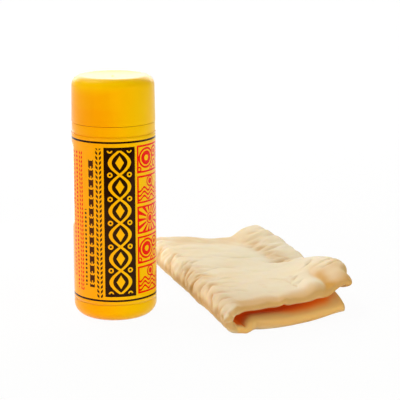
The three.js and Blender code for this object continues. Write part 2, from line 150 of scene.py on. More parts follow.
class Finishes(bpy.types.PropertyGroup):
    """Colours of the canister, its label and the cloth."""

    amber: colour_property("Amber", "Plastic of the tube and the cap", "#ffac00")
    # Painted light: the paler amber that the right side and the cap's top are painted toward.
    amber_painted_light: colour_property("Pale amber", "Yellower flow of the plastic", "#ffca00")
    amber_deep: colour_property("Deep amber", "Cap where the neck shows through", "#ffa000")
    film: colour_property("Film", "Ground of the label", "#ffaa04")
    ink_dark: colour_property("Dark ink", "Dark panel and rules", "#251004")
    ink_brown: colour_property("Brown ink", "Ornament beside the panel", "#45200a")
    ink_red: colour_property("Red ink", "Red panels", "#f00f02")
    seal: colour_property("Seal", "Foam of the seal", "#efe6d2")
    cloth: colour_property("Cloth", "Open faces of the cloth", "#f4e7cb")
    # Painted shade: the next four colours darken the cloth's flanks, wrinkles, the fold's mouth
    # and inside.
    cloth_shade: colour_property("Cloth shade", "Flanks of the cloth", "#c9a267")
    cloth_hollow_shade: colour_property("Cloth hollow", "Hollows of the wrinkles", "#d8a458")
    cloth_mouth_shade: colour_property("Cloth gold", "Mouth of the fold", "#e4b973")
    cloth_fold_shade: colour_property("Cloth deep", "Inside the fold", "#ee7e08")
    floor: colour_property("Floor", "Paper under the set", "#fafafa")


class StageSizes(bpy.types.PropertyGroup):
    """The paper sweep and the camera."""

    lens: FloatProperty(name="Lens", description="Focal length", default=134.26, unit="CAMERA")
    front: length_property("Front", "How far the paper reaches in front", 0.42)
    back: length_property("Back", "How far the paper lies flat behind", 0.9)
    half_width: length_property("Half width", "Half the width of the paper", 1.6)


# Tints of the gloss that the amber plastic and the printed film have when seen straight.
AMBER_GLOSS = linear("#ffb428")
FILM_GLOSS = linear("#ffc08c")

# Pits of the foam, mottling and sheen of the cloth, and the painted glow inside its fold.
FOAM_PITS = linear("#d8ccb0")
CLOTH_MOTTLE = linear("#ecd2a4")
CLOTH_SHEEN = linear("#fff1d8")
PAINTED_FOLD_GLOW = linear("#ff7c14")

# Kinds of node that are used most, and the setting that gives a range soft ends.
MATH = "ShaderNodeMath"
RANGE = "ShaderNodeMapRange"
NOISE = "ShaderNodeTexNoise"
SOFT_ENDS = {"interpolation_type": "SMOOTHSTEP"}


def fill(tree, node, inputs):
    """Fills a node's inputs with values or links, by name or in order. Returns the node.

    A node that is given as a value stands for its first output.
    """
    for key, value in inputs.items() if isinstance(inputs, dict) else enumerate(inputs):
        if isinstance(value, bpy.types.Node):
            value = value.outputs[0]
        if isinstance(value, bpy.types.NodeSocket):
            tree.links.new(value, node.inputs[key])
        else:
            node.inputs[key].default_value = value
    return node


def add(tree, kind, inputs=(), **settings):
    """Adds a node with its settings and its inputs. Returns the node."""
    node = tree.nodes.new(kind)
    for name, value in settings.items():
        setattr(node, name, value)
    return fill(tree, node, inputs)


def new_material(name):
    """An empty node material with a surface shader and its output.

    Returns the material, its tree and the shader.
    """
    material = bpy.data.materials.new(name)
    material.use_nodes = True
    tree = material.node_tree
    tree.nodes.clear()
    shader = add(tree, "ShaderNodeBsdfPrincipled")
    add(tree, "ShaderNodeOutputMaterial", {"Surface": shader})
    return material, tree, shader


def rough_skin(tree, shader, coordinates, size, height, strength):
    """Fine bumps of a real size on a surface. Returns the noise, for use on other inputs."""
    grain = add(tree, NOISE,
                {"Vector": coordinates, "Scale": 1 / size, "Detail": 3.0, "Roughness": 0.55})
    bump = add(tree, "ShaderNodeBump",
               {"Height": grain, "Distance": height, "Strength": strength})
    fill(tree, shader, {"Normal": bump})
    return grain


def tinted(tree, base, tint, share):
    """A base colour with a share of a tint mixed in."""
    return add(tree, "ShaderNodeMix", {0: share, 6: base, 7: tint}, data_type="RGBA").outputs[2]


def painted_light_share(tree, coordinates):
    """Painted light: from nothing to one across the canister, paler and yellower to the right."""
    wobble_size, reach, left, right = 60 * MM, 16 * MM, -12 * MM, 36 * MM
    place = add(tree, "ShaderNodeSeparateXYZ", [coordinates]).outputs["X"]
    wobble = add(tree, NOISE, {"Vector": coordinates, "Scale": 1 / wobble_size, "Detail": 1.0})
    moved = add(tree, MATH, (wobble, reach, place), operation="MULTIPLY_ADD")
    return add(tree, RANGE, (moved, left, right), **SOFT_ENDS)


def moulded_polypropylene(name, finishes, deep_height, deep_fade):
    """Injection-moulded polypropylene: a soft gloss, a faint ripple, and light that soaks in.

    The plastic is a little deeper in colour below a height, where what it covers shows through.
    It is painted paler and yellower to the right and toward the cap's top, as painted light.
    Its gloss is amber when seen straight, because light goes a little way in.
    """
    material, tree, shader = new_material(name)
    coordinates = add(tree, "ShaderNodeTexCoord").outputs["Object"]
    height = add(tree, "ShaderNodeSeparateXYZ", [coordinates]).outputs["Z"]
    below = add(tree, RANGE, (height, deep_height - deep_fade, deep_height + deep_fade, 1.0, 0.0),
                **SOFT_ENDS)
    # Painted light: paler toward the cap's top, and paler and yellower to the right.
    paler_from, pale_from = CAP_BOX[1].z - 15 * MM, CAP_BOX[1].z - 2 * MM
    crown = add(tree, RANGE, (height, paler_from, pale_from), **SOFT_ENDS)
    lit_share = either(tree, painted_light_share(tree, coordinates), crown)
    lit_amber = tinted(tree, finishes.amber, finishes.amber_painted_light, lit_share)
    deeper = without(tree, both(tree, below, 0.5), lit_share)
    ripple = rough_skin(tree, shader, coordinates, 3 * MM, 0.02 * MM, 0.35)
    fill(tree, shader, {
        "Base Color": tinted(tree, lit_amber, finishes.amber_deep, deeper),
        "Roughness": add(tree, RANGE, {"Value": ripple, "To Min": 0.24, "To Max": 0.36}),
        "IOR": 1.49,
        "Specular IOR Level": 0.3,
        "Specular Tint": AMBER_GLOSS,
        "Subsurface Weight": 0.2,
        "Subsurface Radius": (1.0, 0.5, 0.1),
        "Subsurface Scale": 2 * MM,
    })
    return material


def closed_foam(name, colour):
    """Closed-cell polyethylene foam: pale, dull and finely pitted."""
    material, tree, shader = new_material(name)
    coordinates = add(tree, "ShaderNodeTexCoord").outputs["Object"]
    cells = add(tree, "ShaderNodeTexVoronoi", {"Vector": coordinates, "Scale": 1 / (0.5 * MM)})
    fill(tree, shader, {
        "Base Color": tinted(tree, colour, FOAM_PITS, cells),
        "Normal": add(tree, "ShaderNodeBump",
                      {"Height": cells, "Distance": 0.1 * MM, "Strength": 0.5}),
        "Roughness": 0.75,
    })
    return material


def stripe(tree, value, middle, half):
    """One where a value lies within half a width of its middle, and nothing elsewhere."""
    return add(tree, MATH, (value, middle, half), operation="COMPARE")


def both(tree, first, second):
    """Where two marks overlap."""
    return add(tree, MATH, (first, second), operation="MULTIPLY")


def either(tree, *marks):
    """Where any of several marks is."""
    total = marks[0]
    for mark in marks[1:]:
        total = add(tree, MATH, (total, mark), operation="MAXIMUM")
    return total


def without(tree, first, second):
    """The first mark where the second isn't."""
    return add(tree, MATH, (first, second), operation="SUBTRACT", use_clamp=True)


def apart(tree, value, middle):
    """How far a value is from a middle, on either side."""
    gap = add(tree, MATH, (value, middle), operation="SUBTRACT")
    return add(tree, MATH, [gap], operation="ABSOLUTE")


def wrapped(tree, value, low, pitch):
    """A value folded into one pitch about zero, so that what is drawn with it repeats."""
    moved = add(tree, MATH, (value, low), operation="SUBTRACT")
    return add(tree, MATH, (moved, pitch / 2, -pitch / 2), operation="WRAP")


def waved(tree, value, along, reach, pitch, phase=0.0):
    """A value shifted by a sine wave that runs along another."""
    angle = add(tree, MATH, (along, 2 * math.pi / pitch, phase), operation="MULTIPLY_ADD")
    swing = add(tree, MATH, [angle], operation="SINE")
    return add(tree, MATH, (swing, -reach, value), operation="MULTIPLY_ADD")


def distance_from(tree, across, along, across_middle=0.0, along_middle=0.0):
    """Distance of a point of the label from a place on it."""
    point = add(tree, "ShaderNodeCombineXYZ", (across, along))
    middle = (across_middle, along_middle, 0.0)
    far = add(tree, "ShaderNodeVectorMath", (point, middle), operation="DISTANCE")
    return far.outputs["Value"]


# The label's drawing, in millimetres: across it from its front middle, and up from its lower edge.
LABEL_DRAWING = {
    "rules": (3.7, 129.5),
    "rule_half": 0.78,
    "panel": (4.3, 66.4),
    "panel_half": (12.4, 59.4),
    "frames_across": 32.6,
    "frames_half": 14.1,
    "frames_low": 6.9,
    "frame_pitch": 24.1,
    "frame_count": 5,
    "frame_gap": 2.2,
    "line_half": 0.75,
}

# Rings and dots of a frame with bubbles, in millimetres: a place across and up from the frame's
# middle, a radius and half the line's width.
BUBBLES = (
    (-4.5, 0.5, 7.4, 0.8), (-4.5, 0.5, 3.9, 1.6), (6.4, 4.2, 3.9, 0.75), (6.4, 4.2, 0.0, 1.9),
    (7.0, -5.2, 2.6, 0.75), (1.6, -8.6, 1.4, 0.6), (11.8, -0.6, 1.3, 0.6), (-12.0, -8.0, 1.6, 0.6),
)


def panel_ornament(tree, across, along):
    """Amber ribbons, lozenges and rings down the dark panel."""
    middle, low = LABEL_DRAWING["panel"]
    pitch, swing, margin = 38.0, 7.6, 2.4
    ribbon_half, seed_half, seed_slope, ring_radius, ring_half = 1.45, 3.4, 0.62, 1.5, 0.6
    up = wrapped(tree, along, low, 3 * pitch)
    ribbons = [stripe(tree, waved(tree, across, up, swing, pitch, phase), middle, ribbon_half)
               for phase in (0.0, math.pi)]
    aside = apart(tree, across, middle)
    level = wrapped(tree, along, low + pitch / 4, pitch / 2)
    level = add(tree, MATH, [level], operation="ABSOLUTE")
    lozenge = add(tree, MATH, (level, seed_slope, aside), operation="MULTIPLY_ADD")
    seed = stripe(tree, lozenge, 0.0, seed_half)
    crossing = wrapped(tree, along, low, pitch / 2)
    rings = [
        stripe(tree, distance_from(tree, across, crossing, middle + place), ring_radius, ring_half)
        for place in (swing, -swing)
    ]
    ends = stripe(tree, along, low, LABEL_DRAWING["panel_half"][1] - margin)
    return both(tree, either(tree, *ribbons, seed, *rings), ends)


def frame_drawing(tree, across, along):
    """Five red frames, with waves, bubbles and rays in turn."""
    drawing = LABEL_DRAWING
    pitch, low = drawing["frame_pitch"], drawing["frames_low"]
    y = wrapped(tree, along, low + pitch / 2, pitch)
    x = add(tree, MATH, (across, drawing["frames_across"]), operation="SUBTRACT")
    up = add(tree, MATH, (along, low), operation="SUBTRACT")
    row = add(tree, MATH, (up, pitch), operation="DIVIDE")
    row = add(tree, MATH, [row], operation="FLOOR")
    wide, tall = drawing["frames_half"], (pitch - drawing["frame_gap"]) / 2
    outer, inner = [
        both(tree, stripe(tree, x, 0.0, wide - line), stripe(tree, y, 0.0, tall - line))
        for line in (0.0, 2 * drawing["line_half"])
    ]
    bubbles = either(tree, *[
        stripe(tree, distance_from(tree, x, y, *middle), radius, half)
        for *middle, radius, half in BUBBLES
    ])
    # Four crests below a small sun.
    wave_height, wave_pitch, crest_pitch = 1.5, 9.4, 3.4
    wave = waved(tree, y, x, wave_height, wave_pitch)
    crest = stripe(tree, wrapped(tree, wave, 0.0, crest_pitch), 0.0, crest_pitch / 4)
    sun = distance_from(tree, x, y, 0.0, 5.6)
    waves = either(tree, both(tree, crest, stripe(tree, wave, -crest_pitch, 6.0)),
                   stripe(tree, sun, 0.0, 2.3), stripe(tree, sun, 3.9, 0.6))
    # Fourteen rays round a ringed dot.
    angle = add(tree, MATH, (y, x), operation="ARCTAN2")
    ray = stripe(tree, wrapped(tree, angle, 0.0, 2 * math.pi / 14), 0.0, 0.11)
    far = distance_from(tree, x, y)
    rays = either(tree, both(tree, ray, stripe(tree, far, 10.5, 5.2)),
                  stripe(tree, far, 0.0, 2.6), stripe(tree, far, 4.1, 0.6))
    chosen = either(tree, *[
        both(tree, motif, stripe(tree, wrapped(tree, row, place, 3.0), 0.0, 0.4))
        for place, motif in enumerate((waves, bubbles, rays))
    ])
    framed = either(tree, without(tree, outer, inner), both(tree, chosen, inner))
    count = drawing["frame_count"]
    return both(tree, framed, stripe(tree, row, (count - 1) / 2, count / 2 - 0.3))


def leaves(tree, across, along, middle, low, high, pitch, half):
    """A stem of slanted leaves, up the label from one height to another."""
    aside = apart(tree, across, middle)
    slope, thick, stem = 0.9, 0.3, 0.24
    slanted = add(tree, MATH, (aside, -slope, along), operation="MULTIPLY_ADD")
    leaf = both(tree, stripe(tree, wrapped(tree, slanted, low, pitch), 0.0, thick * pitch),
                stripe(tree, aside, (1 + stem) / 2 * half, (1 - stem) / 2 * half))
    return both(tree, leaf, stripe(tree, along, (low + high) / 2, (high - low) / 2))


def dots(tree, across, along, middle, low, high, pitch, radius):
    """A row of small round dots up the label."""
    away = distance_from(tree, across, wrapped(tree, along, low, pitch), middle)
    row = stripe(tree, along, (low + high) / 2, (high - low) / 2)
    return both(tree, stripe(tree, away, 0.0, radius), row)


# Rows of small marks up the label, in millimetres: their kind, their place across it, where they
# start and end, and their pitch and half width.
BROWN_ROWS = (
    (leaves, -12.4, 6.0, 125.0, 3.8, 2.4),
    (dots, -19.0, 14.0, 116.0, 7.6, 2.2),
    (leaves, -19.0, 14.0, 116.0, 3.8, 2.2),
    (dots, -24.6, 15.0, 76.0, 3.4, 1.0),
)
RED_ROWS = (
    (leaves, -29.4, 10.0, 122.0, 3.4, 1.9),
    (dots, -34.4, 11.0, 121.0, 3.2, 1.1),
    (leaves, -39.4, 20.0, 122.0, 3.4, 1.9),
)


def printed_film(name, finishes, around, tall):
    """Printed polypropylene film: flat inks under a clear glossy face, with a slight ripple."""
    material, tree, shader = new_material(name)
    flat = add(tree, "ShaderNodeUVMap", uv_map="label")
    parts = add(tree, "ShaderNodeSeparateXYZ", [flat]).outputs
    across = add(tree, MATH, (parts["X"], around / MM, -around / MM / 2),
                 operation="MULTIPLY_ADD")
    along = add(tree, MATH, (parts["Y"], tall / MM), operation="MULTIPLY")
    drawing = LABEL_DRAWING
    rules = [stripe(tree, along, rule, drawing["rule_half"]) for rule in drawing["rules"]]
    panel = both(tree, *[
        stripe(tree, place, middle, half)
        for place, middle, half in zip((across, along), drawing["panel"], drawing["panel_half"])
    ])
    dark = either(tree, *rules, without(tree, panel, panel_ornament(tree, across, along)))
    brown, red = [
        [mark(tree, across, along, *row) for mark, *row in rows] for rows in (BROWN_ROWS, RED_ROWS)
    ]
    red = either(tree, frame_drawing(tree, across, along), *red)
    coordinates = add(tree, "ShaderNodeTexCoord").outputs["Object"]
    # Painted light: the film's ground is painted paler and yellower to the right.
    colour = tinted(tree, finishes.film, finishes.amber_painted_light, painted_light_share(tree, coordinates))
    for mark, ink in (
        (either(tree, *brown), finishes.ink_brown),
        (red, finishes.ink_red),
        (dark, finishes.ink_dark),
    ):
        colour = tinted(tree, colour, ink, mark)
    stretched = add(tree, "ShaderNodeMapping", {"Vector": coordinates, "Scale": (1.0, 1.0, 0.35)})
    rough_skin(tree, shader, stretched, 14 * MM, 0.12 * MM, 0.5)
    fill(tree, shader, {
        "Base Color": colour,
        "Roughness": 0.1,
        "IOR": 1.4,
        "Specular IOR Level": 0.28,
        "Specular Tint": FILM_GLOSS,
    })
    return material


def synthetic_chamois(name, finishes):
    """Nonwoven synthetic chamois: cream, matt and soft, with a short nap that catches light.

    Its flanks, wrinkles and the mouth of its fold are painted a deeper, warmer colour as painted
    shade, the inside of the fold is painted deep orange as painted shade, and there it has a faint
    painted glow.
    """
    material, tree, shader = new_material(name)
    coordinates = add(tree, "ShaderNodeTexCoord").outputs["Object"]
    # Marks of painted shade, kept on the cloth's points.
    fold, flank, hollow = [
        add(tree, "ShaderNodeAttribute", attribute_name=mark).outputs["Fac"]
        for mark in ("fold_shade", "flank", "hollow")
    ]
    cloud, grain, nap = [
        add(tree, NOISE,
            {"Vector": coordinates, "Scale": 1 / size, "Detail": detail, "Roughness": rough})
        for size, detail, rough in ((28 * MM, 4.0, 0.6), (5 * MM, 3.0, 0.6), (1.1 * MM, 4.0, 0.7))
    ]
    mottle = add(tree, RANGE, {0: cloud, 1: 0.42, 2: 0.72, 4: 0.3})
    mouth_shade_share = add(tree, RANGE, (fold, 0.0, 0.2), **SOFT_ENDS)
    fold_shade_share = add(tree, RANGE, (fold, 0.36, 0.9), **SOFT_ENDS)
    # Painted shade: deeper colours on the flanks, in the wrinkles, at the fold's mouth and inside
    # it.
    colour = finishes.cloth
    for tint, share in (
        (CLOTH_MOTTLE, mottle),
        (finishes.cloth_hollow_shade, hollow),
        (finishes.cloth_shade, flank),
        (finishes.cloth_mouth_shade, mouth_shade_share),
        (finishes.cloth_fold_shade, fold_shade_share),
    ):
        colour = tinted(tree, colour, tint, share)
    soft = add(tree, "ShaderNodeBump", {"Height": grain, "Distance": 0.5 * MM, "Strength": 0.35})
    bump = add(tree, "ShaderNodeBump",
               {"Height": nap, "Normal": soft, "Distance": 0.16 * MM, "Strength": 0.5})
    fill(tree, shader, {
        "Base Color": colour,
        "Normal": bump,
        "Roughness": 0.92,
        "Specular IOR Level": 0.04,
        "Sheen Weight": 0.07,
        "Sheen Roughness": 0.5,
        "Sheen Tint": CLOTH_SHEEN,
        "Subsurface Weight": 0.35,
        "Subsurface Radius": (1.0, 0.65, 0.25),
        "Subsurface Scale": 2.5 * MM,
        # A painted glow inside the fold, where no lamp is.
        "Emission Color": PAINTED_FOLD_GLOW,
        "Emission Strength": both(tree, fold_shade_share, 0.06),
    })
    return material


def arc(middle, radius, start, end, steps=10):
    """Points on a round corner in a profile, from one angle to another, in degrees."""
    angles = np.radians(np.linspace(start, end, steps + 1))
    return [(middle[0] + radius * math.cos(a), middle[1] + radius * math.sin(a)) for a in angles]


def mesh_from(name, points, faces):
    """A new object with a mesh of these points and faces, at the origin."""
    mesh = bpy.data.meshes.new(name)
    mesh.from_pydata([tuple(point) for point in points], [], faces)
    mesh.validate()
    thing = bpy.data.objects.new(name, mesh)
    bpy.context.scene.collection.objects.link(thing)
    return thing


def turned(name, profile, steps=192):
    """Turns a profile of (radius, height) points round the Z axis.

    A profile that starts and ends on the axis is closed there, and any other joins its own start.
    An edge is kept crisp where its faces meet at more than 35 degrees.
    """
    on_axis = profile[0][0] == 0
    rings = profile[1:-1] if on_axis else profile
    count = len(rings)
    turns = [2 * math.pi * step / steps for step in range(steps)]
    beside = [(step, (step + 1) % steps) for step in range(steps)]
    points = [(radius * math.cos(turn), radius * math.sin(turn), height)
              for radius, height in rings for turn in turns]
    faces = []
    for ring in range(count - on_axis):
        low, high = ring * steps, (ring + 1) % count * steps
        faces += [(low + step, low + after, high + after, high + step) for step, after in beside]
    if on_axis:
        first, last, top = len(points), len(points) + 1, (count - 1) * steps
        points += [(0.0, 0.0, height) for _, height in (profile[0], profile[-1])]
        faces += [(first, after, step) for step, after in beside]
        faces += [(last, top + step, top + after) for step, after in beside]
    thing = mesh_from(name, points, faces)
    thing.data.shade_smooth()
    thing.data.set_sharp_from_angle(angle=math.radians(35))
    return thing


def plain_mesh(thing, modifier):
    """Keeps what a modifier makes of an object as its own plain mesh."""
    bpy.context.view_layer.update()
    depsgraph = bpy.context.evaluated_depsgraph_get()
    mesh = bpy.data.meshes.new_from_object(thing.evaluated_get(depsgraph))
    thing.modifiers.remove(modifier)
    old = thing.data
    thing.data = mesh
    bpy.data.meshes.remove(old)
    mesh.name = thing.name


# Inputs of the thread's tree and their kinds.
THREAD_INPUTS = {
    "Geometry": "Geometry", "Radius": "Float", "Height": "Float", "Lead": "Float",
    "Turns": "Float", "Starts": "Int", "Depth": "Float", "Root": "Float", "Crest": "Float",
    "Rooting": "Float", "First Turn": "Float", "Material": "Material",
}


def thread_tree():
    """Geometry Nodes: screw threads that stand on a round wall, added to the mesh they are on."""
    tree = bpy.data.node_groups.new("screw_thread", "GeometryNodeTree")
    for name, kind in THREAD_INPUTS.items():
        tree.interface.new_socket(name, in_out="INPUT", socket_type="NodeSocket" + kind)
    tree.interface.new_socket("Geometry", in_out="OUTPUT", socket_type="NodeSocketGeometry")
    given = add(tree, "NodeGroupInput").outputs
    # A flat strip: its length is the thread's way round, and its five rows are the section.
    steps, rows = 120, 5
    grid = add(tree, "GeometryNodeMeshGrid", (1.0, 1.0, steps, rows))
    parts = add(tree, "ShaderNodeSeparateXYZ", [add(tree, "GeometryNodeInputPosition")]).outputs
    share = add(tree, MATH, (parts["X"], 0.5), operation="ADD")
    corner = add(tree, MATH, (parts["Y"], 4.0, 2.0), operation="MULTIPLY_ADD")
    corner = add(tree, MATH, [corner], operation="ROUND")
    on_crest = stripe(tree, corner, 1.5, 0.75)
    upper = stripe(tree, corner, 2.5, 0.75)
    side = add(tree, MATH, (upper, 2.0, -1.0), operation="MULTIPLY_ADD")
    width = add(tree, "ShaderNodeMix",
                {"Factor": on_crest, "A": given["Root"], "B": given["Crest"]}, data_type="FLOAT")
    outward = add(tree, MATH, [given["Depth"]], operation="SIGN")
    lift = side
    for factor in (width, 0.5, outward):
        lift = add(tree, MATH, (lift, factor), operation="MULTIPLY")
    # How far the strip stands from the wall, with both ends of each thread run out.
    run_out = 0.1
    from_end = add(tree, MATH, (share, 0.5), operation="PINGPONG")
    full = add(tree, RANGE, (from_end, 0.0, run_out), **SOFT_ENDS)
    rooted = add(tree, MATH, (outward, given["Rooting"]), operation="MULTIPLY")
    inner = add(tree, MATH, (given["Radius"], rooted), operation="SUBTRACT")
    stand = add(tree, MATH, (given["Depth"], rooted), operation="ADD")
    for factor in (full, on_crest):
        stand = add(tree, MATH, (stand, factor), operation="MULTIPLY")
    radius = add(tree, MATH, (inner, stand), operation="ADD")
    # Where the strip is, round the wall and up it.
    turn = add(tree, MATH, (share, given["Turns"]), operation="MULTIPLY")
    height = add(tree, MATH, (turn, given["Lead"], given["Height"]), operation="MULTIPLY_ADD")
    height = add(tree, MATH, (height, lift), operation="ADD")
    angle = add(tree, MATH, (turn, given["First Turn"]), operation="ADD")
    angle = add(tree, MATH, (angle, 2 * math.pi), operation="MULTIPLY")
    ways = [add(tree, MATH, [angle], operation=way) for way in ("COSINE", "SINE")]
    flat = [add(tree, MATH, (radius, way), operation="MULTIPLY") for way in ways]
    point = add(tree, "ShaderNodeCombineXYZ", (*flat, height))
    swept = add(tree, "GeometryNodeSetPosition", {"Geometry": grid, "Position": point})
    welded = add(tree, "GeometryNodeMergeByDistance",
                 {"Geometry": swept, "Distance": 0.001 * MM})
    # One copy for each start, evenly round the wall.
    line = add(tree, "GeometryNodeMeshLine", {"Count": given["Starts"], "Offset": (0, 0, 0)})
    start = add(tree, MATH, (add(tree, "GeometryNodeInputIndex"), given["Starts"]),
                operation="DIVIDE")
    about = add(tree, MATH, (start, 2 * math.pi), operation="MULTIPLY")
    spin = add(tree, "ShaderNodeCombineXYZ", {"Z": about})
    copies = add(tree, "GeometryNodeInstanceOnPoints",
                 {"Points": line, "Instance": welded, "Rotation": spin})
    joined = add(tree, "GeometryNodeJoinGeometry", [given["Geometry"]])
    fill(tree, joined, [add(tree, "GeometryNodeRealizeInstances", [copies])])
    whole = add(tree, "GeometryNodeRealizeInstances", [joined])
    painted = add(tree, "GeometryNodeSetMaterial",
                  {"Geometry": whole, "Material": given["Material"]})
    add(tree, "NodeGroupOutput", [painted])
    return tree


def threaded(thing, sizes, material, radius, height, depth, first_turn):
    """Adds its screw thread to the tube or the cap, and gives the whole piece its material."""
    tree = bpy.data.node_groups.get("screw_thread") or thread_tree()
    modifier = thing.modifiers.new(tree.name, "NODES")
    modifier.node_group = tree
    sockets = {item.name: item.identifier for item in tree.interface.items_tree
               if item.item_type == "SOCKET" and item.in_out == "INPUT"}
    for name, value in {
        "Radius": radius, "Height": height, "Depth": depth, "First Turn": first_turn,
        "Lead": sizes.thread_lead, "Turns": sizes.thread_turns, "Starts": sizes.thread_starts,
        "Root": sizes.thread_root, "Crest": sizes.thread_crest, "Rooting": 0.3 * MM,
        "Material": material,
    }.items():
        modifier[sockets[name]] = value
    plain_mesh(thing, modifier)


class SCENE_OT_canister_body(bpy.types.Operator):
    """The moulded tube with its foot ring, label seat, shoulder, neck and screw thread"""

    bl_idname = "chamois.canister_body"
    bl_label = "Canister body"

    def execute(self, context):
        sizes = context.scene.canister_sizes
        material = moulded_polypropylene(
            "amber_polypropylene_tube", context.scene.chamois_finishes, -1.0, MM)
        thing = turned("canister_tube", self.profile(sizes))
        threaded(thing, sizes, material,
                 sizes.neck_radius, sizes.neck_thread, sizes.thread_depth, 0.0)
        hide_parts("canister_body")
        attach(thing, "canister")
        return {"FINISHED"}

    def profile(self, sizes):
        """Outside from the base up, over the rim, and down the inside."""
        edge, rounding, lip = 0.06 * MM, 0.2 * MM, 0.5 * MM
        radius, corner, recess = sizes.radius, sizes.base_corner, sizes.foot_recess
        seat = radius - sizes.seat_depth
        shoulder = radius - sizes.shoulder_step
        bore = seat - sizes.wall
        neck = sizes.neck_radius
        neck_bore = neck - sizes.neck_wall
        inner_corner = corner - sizes.wall
        foot = radius - corner
        stand = foot - sizes.foot_width
        inner_shoulder = sizes.shoulder - sizes.wall
        return [
            (0, recess),
            (stand - recess, recess),
            *arc((stand, recess), recess, 180, 270, 4),
            *arc((foot, corner), corner, -90, 0, 16),
            *arc((radius - edge, sizes.seat_low - edge), edge, 0, 90, 4),
            (seat, sizes.seat_low),
            (seat, sizes.seat_high),
            *arc((shoulder - edge, sizes.seat_high + edge), edge, -90, 0, 4),
            *arc((shoulder - rounding, sizes.shoulder - rounding), rounding, 0, 90, 8),
            (neck + lip, sizes.shoulder),
            *arc((neck + lip, sizes.shoulder + lip), lip, 270, 180, 4),
            *arc((neck - lip, sizes.rim - lip), lip, 0, 90, 6),
            *arc((neck_bore + lip, sizes.rim - lip), lip, 90, 180, 6),
            (neck_bore, inner_shoulder),
            (bore, inner_shoulder - (bore - neck_bore)),
            *arc((bore - inner_corner, sizes.floor + inner_corner), inner_corner, 0, -90, 12),
            (0, sizes.floor),
        ]


class SCENE_OT_canister_cap(bpy.types.Operator):
    """The tall cap with its dished top, moulding gate, seal ledge and inner thread"""

    bl_idname = "chamois.canister_cap"
    bl_label = "Canister cap"

    def execute(self, context):
        sizes = context.scene.canister_sizes
        material = moulded_polypropylene(
            "amber_polypropylene_cap", context.scene.chamois_finishes,
            sizes.rim - 2 * MM, 3 * MM)
        thing = turned("cap_shell", self.profile(sizes))
        ahead = (sizes.cap_thread - sizes.neck_thread) / sizes.thread_lead
        threaded(thing, sizes, material,
                 sizes.cap_radius - sizes.cap_wall, sizes.cap_thread, -sizes.thread_depth, ahead)
        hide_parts("canister_cap")
        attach(thing, "cap")
        return {"FINISHED"}

    def profile(self, sizes):
        """Inside from the middle of the roof down to the lip, and up the outside."""
        edge, small = 0.18 * MM, 0.3 * MM
        top, low = sizes.cap_high, sizes.cap_low
        radius, corner, gate = sizes.cap_radius, sizes.cap_corner, sizes.gate_radius
        bore = radius - sizes.cap_wall
        ledge = bore - sizes.ledge_reach
        ledge_top = sizes.ledge_low + sizes.ledge_wall
        dish = top - sizes.cap_dish
        flat = radius - sizes.cap_draft - corner
        roof = dish - sizes.cap_wall
        hollow = [(share * flat, dish + sizes.cap_dish * share ** 3)
                  for share in np.linspace(1, 0.1, 16)[1:]]
        return [
            (0, roof),
            (flat * 0.6, roof + 0.2 * sizes.cap_dish),
            *arc((flat, top - corner), corner - sizes.cap_wall, 90, 0, 10),
            (bore, ledge_top + small),
            (ledge, ledge_top),
            (ledge, sizes.ledge_low),
            (bore, sizes.ledge_low),
            *arc((bore + edge, low + edge), edge, 180, 270, 4),
            *arc((radius - edge, low + edge), edge, -90, 0, 6),
            *arc((flat, top - corner), corner, 0, 90, 18),
            *hollow,
            (gate + small, dish),
            (gate, dish + small),
            (gate * 0.8, dish + 0.4 * MM),
            (0, dish + 0.35 * MM),
        ]


class SCENE_OT_cap_seal(bpy.types.Operator):
    """The soft ring between the neck's rim and the cap's ledge"""

    bl_idname = "chamois.cap_seal"
    bl_label = "Cap seal"

    def execute(self, context):
        outer, edge = SEAL_BOX[1].x, 0.4 * MM
        left = outer - context.scene.canister_sizes.seal_width + edge
        right, low, high = outer - edge, SEAL_BOX[0].z + edge, SEAL_BOX[1].z - edge
        thing = turned("seal_ring", [
            point
            for middle, start in (((right, low), -90), ((right, high), 0), ((left, high), 90),
                                  ((left, low), 180))
            for point in arc(middle, edge, start, start + 90, 5)
        ])
        foam = closed_foam("closed_cell_foam", context.scene.chamois_finishes.seal)
        thing.data.materials.append(foam)
        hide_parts("cap_seal")
        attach(thing, "seal")
        return {"FINISHED"}


